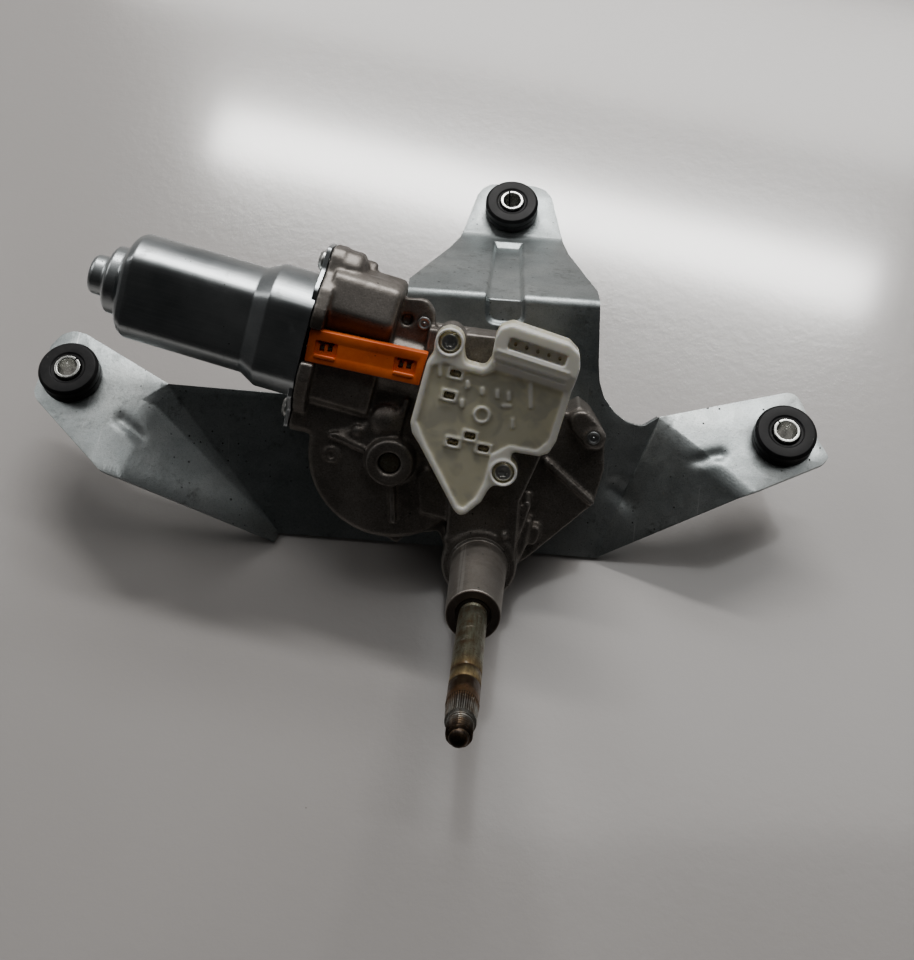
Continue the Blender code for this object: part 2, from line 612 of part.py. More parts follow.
# -------------------------------------------------------------- motor and worm
def build_motor():
    # drawn steel can: outside from the cap to the mouth, then back inside
    yoke = turned_axis("motor_yoke", [
        (84.6, 5.6), (84.6, 6.4), (83.6, 7.4), (78.0, 7.6), (77.6, 11.4),
        (76.6, 12.6), (71.0, 12.9),
        (70.6, 16.5, 13.2), (69.6, YOKE_R - 0.9, YOKE_FLAT - 0.8),
        (67.8, YOKE_R, YOKE_FLAT),
        (20.5, YOKE_R + 0.3, YOKE_FLAT + 0.2),
        (16.5, COLLAR_R, COLLAR_FLAT), (1.8, COLLAR_R, COLLAR_FLAT),
        (0.0, COLLAR_R, COLLAR_FLAT),
        (0.0, COLLAR_R - 1.6, COLLAR_FLAT - 1.6),
        (16.2, COLLAR_R - 1.6, COLLAR_FLAT - 1.6),
        (19.6, YOKE_R - 1.3, YOKE_FLAT - 1.3),
        (67.2, YOKE_R - 1.5, YOKE_FLAT - 1.5),
        (69.2, 13.0, 12.0), (69.5, 6.6), (76.0, 6.6), (76.2, 4.4),
        (82.8, 4.4)], 28, "zinc_can")
    rim = axis_prism("add_yoke_rim",
                     [(-35.0, -5.0), (-32.5, -7.6), (-27.0, -8.0),
                      (-20.0, -16.0), (20.0, -16.0), (27.0, -8.0),
                      (32.5, -7.6), (35.0, -5.0), (35.0, 5.0), (32.5, 7.6),
                      (27.0, 8.5), (20.0, 16.0), (-20.0, 16.0), (-27.0, 8.0),
                      (-32.5, 7.6), (-35.0, 5.0)], 0.02, 1.7)
    mouth = turned_axis("cut_yoke_mouth",
                        [(-1.0, COLLAR_R - 1.61, COLLAR_FLAT - 1.61),
                         (5.0, COLLAR_R - 1.61, COLLAR_FLAT - 1.61)], 28)
    fuse(yoke, rim)
    cut(yoke, mouth)
    for i, side in enumerate((-SCREW_OFFSET, SCREW_OFFSET)):
        hole = [(side + 2.5 * math.cos(2 * math.pi * k / 16),
                 2.5 * math.sin(2 * math.pi * k / 16)) for k in range(16)]
        cut(yoke, axis_prism("cut_rim_hole_%d" % i, hole, -1.0, 4.0))

    # two ferrite arcs
    for name, middle in (("magnet_upper", 0.0), ("magnet_lower", math.pi)):
        arc = [middle + math.radians(a) for a in range(-48, 49, 12)]
        outline = [(18.0 * math.cos(a), 18.0 * math.sin(a)) for a in arc]
        outline += [(14.4 * math.cos(a), 14.4 * math.sin(a))
                    for a in reversed(arc)]
        n = len(arc)
        verts = [world(*axial(t, a, b)) for t in (24.0, 64.0)
                 for a, b in outline]
        m = len(outline)
        faces = [(k, (k + 1) % m, m + (k + 1) % m, m + k) for k in range(m)]
        for k in range(n - 1):
            lo = (k, k + 1, m - 2 - k, m - 1 - k)
            faces += [lo, tuple(m + i for i in reversed(lo))]
        add_mesh(name, verts, faces, "ferrite")

    turned_axis("rear_bearing", [(70.2, 3.3), (70.2, 6.2), (75.4, 6.2),
                                 (75.4, 3.3)], 20, "bronze", ring=True)
    turned_axis("front_bearing", [(-3.5, 3.3), (-3.5, 8.6), (-9.5, 8.6),
                                  (-9.5, 3.3)], 24, "bronze", ring=True)
    turned_axis("worm_end_bearing", [(-56.6, 3.3), (-56.6, 8.6),
                                     (-59.8, 8.6), (-59.8, 3.3)], 24,
                "bronze", ring=True)
    turned_axis("thrust_pad", [(-61.0, 3.6), (-63.1, 3.6)], 16, "nylon")

    build_armature()


def worm_point_distance():
    """Where along the motor axis the wheel sits, as a t value."""
    du, dv = GEAR_AT[0] - FLANGE_AT[0], GEAR_AT[1] - FLANGE_AT[1]
    return -(du * AXIS[0] + dv * AXIS[1])


def build_armature():
    """Shaft and worm in one piece: rings whose radius follows the thread."""
    n = 16
    pitch = 2 * math.pi * WHEEL_PITCH_R / WHEEL_TEETH
    centre = worm_point_distance()
    half = 12.5
    step = pitch / 8

    def thread_radius(t, angle):
        # angle pi is the direction towards the wheel (side = -1)
        phase = ((t - centre) / pitch - WORM_HAND * (angle - math.pi)
                 / (2 * math.pi) + 0.5) % 1.0 - 0.5
        flank = min(1.0, max(0.0, (abs(phase) - 0.10) / 0.12))
        r = WORM_TIP_R + (WORM_CORE_R - WORM_TIP_R) * flank
        edge = half - abs(t - centre)
        if edge < 2.0:
            r = WORM_CORE_R + (r - WORM_CORE_R) * max(0.0, edge / 2.0)
        return r

    def ring(t, radius):
        pts = []
        for k in range(n):
            a = 2 * math.pi * k / n
            r = radius(a) if callable(radius) else radius
            pts.append(world(*axial(t, r * math.cos(a), r * math.sin(a))))
        return pts

    rings = [ring(79.0, 2.4), ring(78.4, 3.0), ring(centre + half + 1.0, 3.0)]
    rings.append(ring(centre + half + 0.6, WORM_CORE_R))
    steps = int(round(2 * half / step))
    for i in range(steps + 1):
        t = centre + half - 2 * half * i / steps
        rings.append(ring(t, lambda a, t=t: thread_radius(t, a)))
    rings.append(ring(centre - half - 0.6, WORM_CORE_R))
    rings.append(ring(centre - half - 1.0, 3.0))
    rings.append(ring(-60.2, 3.0))
    rings.append(ring(-60.6, 2.4))
    loft("armature_shaft", rings, "shaft_steel")

    # slotted core
    slots, outline = 10, []
    for k in range(slots):
        a = 2 * math.pi * k / slots
        for da, r in ((-0.26, 13.6), (0.0, 13.9), (0.26, 13.6), (0.26, 12.6),
                      (0.10 + 0.08, 7.6)):
            outline.append((r * math.cos(a + da), r * math.sin(a + da)))
        b = 2 * math.pi / slots - 0.26
        outline.append((7.6 * math.cos(a + b + 0.08), 7.6 * math.sin(a + b + 0.08)))
        outline.append((12.6 * math.cos(a + b), 12.6 * math.sin(a + b)))
    core = axis_prism("armature_core", outline, 30.0, 62.0, "lamination")
    cut(core, turned_axis("cut_core_bore", [(20.0, 3.3), (70.0, 3.3)], 20))
    for name, t0, t1 in (("winding_front", 24.6, 29.6),
                         ("winding_rear", 62.4, 67.4)):
        turned_axis(name, [(t0, 5.0), (t0, 10.2), (t0 + 1.2, 12.2),
                           (t1 - 1.2, 12.2), (t1, 11.2), (t1, 5.0)], 24,
                    "copper", ring=True)
    turned_axis("commutator", [(8.0, 3.3), (8.0, 6.5), (20.0, 6.5),
                               (20.0, 8.0), (22.0, 8.0), (22.0, 3.3)], 20,
                "copper", ring=True)

    # brush card and the two brushes
    card = turned_axis("brush_card", [(4.0, 8.8), (4.0, 19.0, 16.2),
                                      (6.6, 19.0, 16.2), (6.6, 8.8)], 28,
                       "acetal", ring=True)
    guides, slots_cut = [], []
    for i, sign in enumerate((-1.0, 1.0)):
        lo, hi = sorted((sign * 8.9, sign * 18.2))
        guides.append(axis_prism("add_brush_guide_%d" % i,
                                 box_outline(lo, hi, -4.2, 4.2), 6.0, 17.6))
        lo, hi = sorted((sign * 6.0, sign * 17.0))
        slots_cut.append(axis_prism("cut_brush_guide_%d" % i,
                                    box_outline(lo, hi, -2.8, 2.8), 9.2,
                                    15.8))
    fuse(card, *guides)
    cut(card, *slots_cut)
    for name, sign in (("brush_lower", -1.0), ("brush_upper", 1.0)):
        lo, hi = sorted((sign * 6.85, sign * 14.5))
        axis_prism(name, box_outline(lo, hi, -2.5, 2.5), 9.5, 15.5, "carbon")


# ------------------------------------------------------------------ gear train
def tooth_outline(cx, cy, pitch_r, teeth, add, ded, centre_angle, first, last,
                  thick=0.40):
    """Open run of trapezoid teeth, numbered first..last about centre_angle."""
    p = 2 * math.pi / teeth
    pts = []
    for k in range(first, last + 1):
        a = centre_angle + k * p
        for off, r in ((-(thick + 0.16) * p / 2, pitch_r - ded),
                       (-(thick - 0.16) * p / 2, pitch_r + add),
                       ((thick - 0.16) * p / 2, pitch_r + add),
                       ((thick + 0.16) * p / 2, pitch_r - ded)):
            pts.append((cx + r * math.cos(a + off), cy + r * math.sin(a + off)))
    return pts


def build_gears():
    g = GEAR_AT
    p = 2 * math.pi / WHEEL_TEETH
    # a gap faces the worm
    toward = math.atan2(SIDE[1], SIDE[0])
    teeth = tooth_outline(g[0], g[1], WHEEL_PITCH_R, WHEEL_TEETH, 1.1, 1.5,
                          toward + p / 2, 0, WHEEL_TEETH - 1)
    lead = WHEEL_PITCH_R * p / (2 * math.pi * WORM_PITCH_R)
    twist = WHEEL_TWIST * (GEAR_W1 - GEAR_W0) * lead / WHEEL_PITCH_R
    wheel = prism("worm_wheel", teeth, GEAR_W0, GEAR_W1, "acetal", turn=twist,
                  about=g)
    dish = turned("add_wheel_hub", g, [(14.6, 8.6), (22.0, 9.6),
                                       (27.4, 8.6)], 28)
    relief_top = turned("cut_wheel_top", g,
                        [(23.0, 9.8), (23.0, 23.6), (30.0, 24.0),
                         (30.0, 9.6)], 32, ring=True)
    bore = turned("cut_wheel_bore", g, [(18.5, 4.5), (30.0, 4.5)], 24)
    pin_hole = turned("cut_crank_hole", CRANK_AT, [(10.0, 2.6), (17.6, 2.6)],
                      16)
    cut(wheel, relief_top)
    fuse(wheel, dish)
    cut(wheel, bore, pin_hole)

    turned("wheel_axle", g, [(18.9, 3.6), (19.3, 4.0), (35.3, 4.0),
                             (35.8, 3.5)], 24, "shaft_steel")
    turned("crank_pin", CRANK_AT, [(12.7, 2.0), (13.0, 2.3), (17.2, 2.3)],
           16, "shaft_steel")

    # output pinion on the slim end of the shaft
    rp = GEAR_MODULE * PINION_TEETH / 2
    rs = GEAR_MODULE * SECTOR_TEETH / 2
    s = SECTOR_AT
    to_sector = math.atan2(s[1], s[0])
    pinion = prism("output_pinion",
                   tooth_outline(0, 0, rp, PINION_TEETH, 1.1, 1.5, to_sector,
                                 0, PINION_TEETH - 1, 0.42),
                   4.6, 8.8, "shaft_steel")
    cut(pinion, turned("cut_pinion_bore", (0, 0), [(0.0, 3.8), (12.0, 3.8)],
                       20))

    # sector: teeth as far as the swing needs, arm on the other side
    ps = 2 * math.pi / SECTOR_TEETH
    back = to_sector + math.pi                     # pivot towards the shaft
    run = tooth_outline(s[0], s[1], rs, SECTOR_TEETH, 1.1, 1.5,
                        back + ps / 2, -1, 3, 0.42)
    arm_angle = math.radians(80.8 + SECTOR_SWING / 2)
    tip = LINK_AT
    outline = list(run)
    outline += [(s[0] + 8.0 * math.cos(back + ps * 4.6),
                 s[1] + 8.0 * math.sin(back + ps * 4.6))]
    for k in range(9):
        b = arm_angle - math.pi / 2 + math.pi * k / 8
        outline.append((tip[0] + 4.6 * math.cos(b), tip[1] + 4.6 * math.sin(b)))
    outline += [(s[0] + 8.0 * math.cos(back - ps * 2.2),
                 s[1] + 8.0 * math.sin(back - ps * 2.2))]
    sector = prism("sector_gear", outline, 4.8, 8.4, "shaft_steel")
    cut(sector, turned("cut_sector_bore", s, [(0.0, 2.8), (12.0, 2.8)], 16),
        turned("cut_link_hole", tip, [(0.0, 2.5), (12.0, 2.5)], 16))
    turned("sector_pivot", s, [(2.3, 2.2), (2.6, 2.5), (16.4, 2.5),
                               (16.7, 2.2)], 16, "shaft_steel")
    turned("link_pin", tip, [(5.0, 2.2), (12.0, 2.2), (12.3, 1.9)], 16,
           "shaft_steel")

    rod = prism("connecting_rod", slot_outline(CRANK_AT, tip, 4.4, 8), 8.8,
                12.3, "acetal")
    cut(rod, turned("cut_rod_crank", CRANK_AT, [(0.0, 2.7), (20.0, 2.7)], 16),
        turned("cut_rod_link", tip, [(0.0, 2.5), (20.0, 2.5)], 16))

    # output shaft: slim seat, journal, groove, knurled cone, thread
    top = SHAFT_TIP_W
    turned("output_shaft", (0, 0), [
        (2.4, 3.1), (2.8, 3.5), (9.6, 3.5), (9.6, SHAFT_R),
        (84.0, SHAFT_R), (84.4, SHAFT_R - 0.45), (85.4, SHAFT_R - 0.45),
        (85.8, SHAFT_R), (top - 33.0, SHAFT_R), (top - 32.0, SHAFT_R - 0.25),
        (top - 24.5, SHAFT_R + 0.05), (top - 17.5, SHAFT_R - 0.35),
        (top - 16.8, THREAD_R - 0.35), (top - 15.6, THREAD_R - 0.35),
        (top - 15.0, THREAD_R), (top - 2.0, THREAD_R), (top - 0.6, THREAD_R - 1.0),
        (top, THREAD_R - 2.2)], 20, "shaft_steel")
    for name, a, b in (("output_bush_inner", 11.0, 24.0),
                       ("output_bush_outer", 64.0, 79.6)):
        turned(name, (0, 0), [(a, SHAFT_R + GAP), (a, BOSS_BORE_R - GAP),
                              (b, BOSS_BORE_R - GAP), (b, SHAFT_R + GAP)], 24,
               "bronze", ring=True)
    turned("shaft_seal", (0, 0), [(80.9, SHAFT_R + GAP), (80.9, 7.3),
                                  (82.4, 7.3), (82.4, SHAFT_R + GAP + 0.4)],
           24, "black_seal", ring=True)


def place_linkage():
    """Crank pin and link pin positions at rest, wiper parked."""
    global CRANK_AT, LINK_AT
    a = math.radians(80.8 + SECTOR_SWING / 2)
    LINK_AT = (SECTOR_AT[0] + SECTOR_ARM * math.cos(a),
               SECTOR_AT[1] + SECTOR_ARM * math.sin(a))
    du, dv = GEAR_AT[0] - LINK_AT[0], GEAR_AT[1] - LINK_AT[1]
    d = math.hypot(du, dv)
    CRANK_AT = (LINK_AT[0] + du / d * ROD_LENGTH, LINK_AT[1] + dv / d * ROD_LENGTH)


# ------------------------------------------------------- terminals and covers
def inset(outline, d):
    """Offset a convex-ish outline inwards by d (counter-clockwise input)."""
    n, pts = len(outline), []
    for i in range(n):
        p0, p1, p2 = outline[i - 1], outline[i], outline[(i + 1) % n]
        e1 = (p1[0] - p0[0], p1[1] - p0[1])
        e2 = (p2[0] - p1[0], p2[1] - p1[1])
        l1, l2 = math.hypot(*e1), math.hypot(*e2)
        n1, n2 = (-e1[1] / l1, e1[0] / l1), (-e2[1] / l2, e2[0] / l2)
        k = d / (1.0 + n1[0] * n2[0] + n1[1] * n2[1])
        pts.append((p1[0] + (n1[0] + n2[0]) * k, p1[1] + (n1[1] + n2[1]) * k))
    return pts


def build_electrics():
    cover = prism("connector_cover", COVER, COVER_W0, COVER_W1,
                  "milky_plastic")
    fuse(cover, prism("add_connector_block", inset(CONNECTOR, 0.15),
                      COVER_W0 + 0.4, COVER_W1 + 4.6))
    pocket = [(-26.0, 57.0), (-22.6, 49.8), (-9.6, 27.4), (-7.4, 27.0),
              (-2.0, 31.6), (0.0, 36.6), (1.4, 46.5), (8.0, 51.0),
              (18.6, 50.2), (22.4, 54.2), (28.0, 81.0), (5.0, 76.0),
              (-5.0, 76.4), (-11.6, 77.6), (-17.0, 79.4), (-21.6, 77.6)]
    top_recess = [(-26.4, 57.4), (-22.8, 49.6), (-9.0, 26.0), (-3.0, 30.6),
                  (0.0, 36.4), (1.6, 46.8), (8.0, 50.6), (18.8, 49.8),
                  (22.8, 54.0), (25.8, 70.0), (2.0, 76.2),
                  (-5.0, 76.4), (-11.6, 77.6), (-17.0, 79.4), (-21.8, 78.2)]
    socket = box_slanted(15.6, 86.6, 11.2, 3.4, math.radians(-14.0))
    tools = [
        prism("cut_cover_under", inset(pocket, 0.6), 30.0, COVER_W1 - 2.6),
        prism("cut_cover_top", top_recess, COVER_W1 - 0.7, 60.0),
        prism("cut_socket", socket, COVER_W1 - 3.0, 60.0),
        turned("cut_cover_ring", (-2.6, 61.4), [(46.0, 2.6), (46.0, 4.2),
                                                (43.7, 4.2), (43.7, 2.6)], 16,
               ring=True),
    ]
    for i, (u, v) in enumerate(WINDOWS):
        tools.append(prism("cut_window_%d" % i,
                           box_slanted(u, v, 2.6, 1.7, math.radians(-8.0)),
                           30.0, 60.0))
    for i, p in enumerate(COVER_SCREWS):
        tools.append(turned("cut_screw_seat_%d" % i, p,
                            [(41.6, 4.1), (60.0, 4.1)], 20))
        tools.append(turned("cut_screw_hole_%d" % i, p,
                            [(30.0, 2.1), (44.0, 2.1)], 16))
    for i, p in enumerate(PINS):
        tools.append(turned("cut_pin_hole_%d" % i, p,
                            [(30.0, 1.0), (60.0, 1.0)], 8))
    cut(cover, *tools)

    # punched lead frame seen through the windows
    lead = prism("contact_frame", inset(pocket, 2.2), 39.6, 40.4, "brass")
    cut(lead,
        prism("cut_lead_a", box_outline(-17.0, -15.5, 56.0, 76.0), 30, 50),
        prism("cut_lead_b", box_outline(-8.5, -7.0, 35.0, 46.0), 30, 50),
        prism("cut_lead_c", box_outline(3.0, 18.0, 60.0, 61.5), 30, 50),
        prism("cut_lead_d", box_outline(4.0, 5.5, 52.5, 58.0), 30, 50))
    for i, p in enumerate(PINS):
        turned("contact_pin_%d" % (i + 1), p,
               [(39.0, 0.62), (47.6, 0.62), (48.2, 0.3)], 10, "brass")

    for i, p in enumerate(COVER_SCREWS):
        screw = turned("cover_screw_%d" % (i + 1), p,
                       [(28.2, 1.2), (29.4, 1.6), (41.9, 1.6), (41.9, 3.8),
                        (43.2, 3.7), (44.1, 2.6)], 16, "screw_steel")
        cross = [box_slanted(p[0], p[1], 2.2, 0.45, a)
                 for a in (0.3, 0.3 + math.pi / 2)]
        cut(screw, *[prism("cut_cross_%d_%d" % (i, k), c, 43.2, 46.0)
                     for k, c in enumerate(cross)])

    # orange terminal holder over the worm tube
    strip = prism("terminal_holder", STRIP, 36.6, 41.2, "orange_plastic")
    a = math.atan2(STRIP[1][1] - STRIP[0][1], STRIP[1][0] - STRIP[0][0])
    holes = []
    for i, (u, v) in enumerate(TERMINAL_AT):
        holes.append(prism("cut_strip_window_%d" % i,
                           box_slanted(u, v, 3.9, 2.6, a), 39.8, 50.0))
        holes.append(prism("cut_strip_slot_%d" % i,
                           box_slanted(u, v, 2.4, 1.0, a), 37.8, 50.0))
    cut(strip, *holes)
    for i, (u, v) in enumerate(TERMINAL_AT):
        prism("motor_terminal_%d" % (i + 1), box_slanted(u, v, 2.0, 0.55, a),
              38.1, 39.9, "brass")


def box_slanted(u, v, half_len, half_wid, angle):
    c, s = math.cos(angle), math.sin(angle)
    return [(u + a * c - b * s, v + a * s + b * c)
            for a, b in ((-half_len, -half_wid), (half_len, -half_wid),
                         (half_len, half_wid), (-half_len, half_wid))]


# ------------------------------------------------------------------- fasteners
def build_fasteners():
    for name, side in (("yoke_screw_lower", -SCREW_OFFSET),
                       ("yoke_screw_upper", SCREW_OFFSET)):
        rings = []
        for t, r in ((-9.6, 1.4), (-9.0, 2.0), (2.0, 2.0), (2.0, 3.9),
                     (3.6, 3.9), (4.9, 2.9)):
            rings.append([world(*axial(t, side + r * math.cos(a),
                                       r * math.sin(a)))
                          for a in [2 * math.pi * k / 14 for k in range(14)]])
        loft(name, rings, "screw_steel")
    for i, p in enumerate(BRACKET_SCREWS):
        turned("bracket_screw_%d" % (i + 1), p,
               [(-4.4, 3.2), (-3.8, 4.4), (-2.3, 4.4), (-2.3, 2.0),
                (9.4, 2.0), (10.0, 1.5)], 14, "screw_steel")
    turned("tab_rivet", TAB_RIVET, [(26.6, 1.6), (30.3, 1.6), (30.3, 2.6),
                                        (31.2, 1.9)], 16, "screw_steel")
    turned("lug_rivet", LUG_RIVET, [(18.6, 1.6), (24.8, 1.6), (24.8, 2.4),
                                    (25.8, 1.7)], 16, "screw_steel")


# ------------------------------------------------------------- moving pieces
def hang_on(pivot_name, at, pieces):
    """Parent moving pieces to an empty that stands on their joint's axis."""
    pivot = bpy.data.objects.new(pivot_name, None)
    pivot.empty_display_size = 0.01
    pivot.location = at
    bpy.context.scene.collection.objects.link(pivot)
    for name in pieces:
        obj = bpy.data.objects[name]
        obj.parent = pivot
        obj.matrix_parent_inverse = Matrix.Translation(-at)


def mark_joints():
    hang_on("pivot_armature", world(*axial(0.0, 0.0)),
            ["armature_shaft", "armature_core", "winding_front",
             "winding_rear", "commutator"])
    hang_on("pivot_wheel", world(*GEAR_AT, 0.0), ["worm_wheel", "crank_pin"])
    hang_on("pivot_output", world(0.0, 0.0, 0.0),
            ["output_shaft", "output_pinion"])
    hang_on("pivot_sector", world(*SECTOR_AT, 0.0), ["sector_gear", "link_pin"])
    hang_on("pivot_rod", world(*LINK_AT, 0.0), ["connecting_rod"])


def smooth_round_pieces():
    for obj in bpy.context.scene.objects:
        if obj.type == "MESH" and not obj.hide_render:
            obj.data.shade_smooth()
            obj.data.set_sharp_from_angle(angle=SMOOTH_ANGLE)


def clear_scene():
    for obj in list(bpy.data.objects):
        bpy.data.objects.remove(obj, do_unlink=True)


def main():
    clear_scene()
    place_linkage()
    build_bracket()
    build_grommets()
    build_housing()
    build_back_cover()
    build_motor()
    build_gears()
    build_electrics()
    build_fasteners()
    mark_joints()
    smooth_round_pieces()


main()
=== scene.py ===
import json
import math
from contextlib import contextmanager
from functools import partialmethod

import bmesh
import bpy
import numpy as np
from mathutils import Matrix, Vector

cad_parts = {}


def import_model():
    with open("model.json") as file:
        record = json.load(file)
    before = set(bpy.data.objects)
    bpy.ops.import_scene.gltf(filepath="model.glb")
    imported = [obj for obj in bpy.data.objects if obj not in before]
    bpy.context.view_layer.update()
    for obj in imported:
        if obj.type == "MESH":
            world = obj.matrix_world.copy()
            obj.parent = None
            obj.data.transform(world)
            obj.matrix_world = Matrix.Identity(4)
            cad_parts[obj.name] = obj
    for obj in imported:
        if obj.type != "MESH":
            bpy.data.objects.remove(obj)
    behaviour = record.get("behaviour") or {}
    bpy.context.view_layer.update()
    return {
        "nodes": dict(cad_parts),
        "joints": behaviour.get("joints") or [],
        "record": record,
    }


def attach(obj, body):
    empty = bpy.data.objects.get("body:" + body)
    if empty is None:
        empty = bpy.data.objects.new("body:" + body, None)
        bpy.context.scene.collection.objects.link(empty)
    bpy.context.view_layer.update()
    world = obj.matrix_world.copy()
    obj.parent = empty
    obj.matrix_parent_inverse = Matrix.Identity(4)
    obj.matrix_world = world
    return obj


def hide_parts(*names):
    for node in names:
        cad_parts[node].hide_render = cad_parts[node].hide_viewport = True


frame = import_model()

JOINTS = {joint["name"]: joint for joint in frame["joints"]}

# ------------ dimensions
# Millimetres in the motor frame (u, v, w): w runs along the output shaft and
# is zero on the front of the bracket's main plate.
MM = 0.001
SHAFT_DIR = Vector(JOINTS["wiper_swing"]["axis"]).normalized()
TILT = math.atan2(-SHAFT_DIR.y, SHAFT_DIR.z)
PLATE_LIFT = 5.76
SHIFT_X, SHIFT_Y = 25.1, -29.97
SHARP = 38.0                        # edges above this angle stay sharp, degrees
TURN = 2 * math.pi

SHEET_T = 2.0
BEND_OFFSET = 4.4                   # how far an ear bend's rounding reaches
EAR_Z, REAR_EAR_Z = 40.39, 8.83
RIDGE_V, FOOT_V = 98.9, -5.95
REAR_BEND_Y = 145.2
BEAD_DEPTH, BEAD_LEAN = 2.6, 1.4    # the pressed bead and how its walls lean
EAR_HOLE_R, SCREW_HOLE_R = 8.3, 2.6
GROMMET_AT = {"left": (-169.0, 40.7, EAR_Z), "right": (114.8, 36.0, EAR_Z),
              "rear": (1.2, 160.5, REAR_EAR_Z)}
GROMMET_R, GROMMET_NECK_R = 12.0, 8.0
GROMMET_UP, GROMMET_DOWN = 7.5, -8.8
SLEEVE_OUT, SLEEVE_IN, SLEEVE_SLIT = 5.2, 3.9, 0.7
SLEEVE_PROUD = 0.8
SLIT_TURN = {"left": 0.9, "right": 2.3, "rear": 1.9}

SHAFT_R, SHAFT_TIP_W = 5.0, 171.0
THREAD_R, THREAD_PITCH, THREAD_DEPTH = 4.0, 1.25, 0.72
THREAD0, THREAD1 = SHAFT_TIP_W - 9.8, SHAFT_TIP_W - 0.8
KNURL0, KNURL1, KNURL_TEETH = SHAFT_TIP_W - 21.0, SHAFT_TIP_W - 10.6, 42
BOSS_END_W, LEDGE_W, BOSS_BORE_R = 83.5, 36.0, 6.6
GEAR_AT = (-36.0, 38.42)

FLANGE_AT = (-68.5, 81.4, 23.0)
AXIS_TURN = math.radians(-12.4)
YOKE_R, YOKE_FLAT = 19.9, 16.0
COLLAR_R, COLLAR_FLAT = 23.5, 19.5
STEP_R, STEP_FLAT, FLAT_SOFT = 12.9, 12.6, 1.4
SCREW_OFFSET = 28.8
COVER_W0, COVER_W1 = 37.2, 45.0
BLOCK_AT, BLOCK_TURN, PIN_FLOOR = (15.0, 86.2), math.radians(-14.0), 45.6
WINDOW_TURN = math.radians(-8.0)
COVER_SCREWS = [(-15.7, 87.2), (6.6, 40.6)]
BRACKET_SCREWS = [(-24.0, 72.0), (36.5, 45.0), (28.5, 17.5)]
LUG_RIVET = (39.6, 51.0)
TAB_RIVET, TAB_HOLE = (-26.2, 90.8), (-32.6, 91.6)
CASTING_VOXEL, COVER_VOXEL = 0.00062, 0.00036

FLOOR_HALF = 3.0
ROOM_FRONT, ROOM_BACK = 0.012, 0.16
LAMP_COLOR = (1.0, 0.985, 0.965)
# name, place, width, height, turn about vertical, power; all face down
LAMPS = [("strip", (0.05, 1.37, 1.62), 1.40, 0.13, -0.205, 31.0),
         ("pane", (0.18, 1.90, 1.62), 2.20, 0.46, -0.205, 23.0),
         ("skylight", (0.55, 0.62, 1.62), 1.30, 0.95, 0.1, 5.6),
         ("fill", (-1.30, 0.60, 1.20), 0.90, 0.90, 0.3, 6.0)]
CAMERA_AT, CAMERA_LENS = (7.03, -191.13, 475.58), 46.41
CAMERA_AXES = [(0.99639, 0.08481, -0.00236), (-0.07608, 0.90546, 0.41757),
               (0.03755, -0.41588, 0.90864)]    # right, up and back


# ------------ frames
def to_level(u, v, w):
    c, s = math.cos(TILT), math.sin(TILT)
    return (u, v * c - w * s, v * s + w * c + PLATE_LIFT)


def level(x, y, z):
    return Vector(((x + SHIFT_X) * MM, (y + SHIFT_Y) * MM, z * MM))


def world(u, v, w):
    return level(*to_level(u, v, w))


def direction(u, v):
    return (world(u, v, 0) - world(0, 0, 0)).normalized()


AXIS = (math.cos(AXIS_TURN), math.sin(AXIS_TURN))
SIDE = (-AXIS[1], AXIS[0])
MOTOR_DIR, MOTOR_SIDE = direction(*AXIS), direction(*SIDE)


def axial(t, side, up=0.0):
    """Motor-axis coordinates; t grows from the flange to the end cap."""
    u, v, w = FLANGE_AT
    return world(u - t * AXIS[0] + side * SIDE[0], v - t * AXIS[1] + side * SIDE[1], w + up)


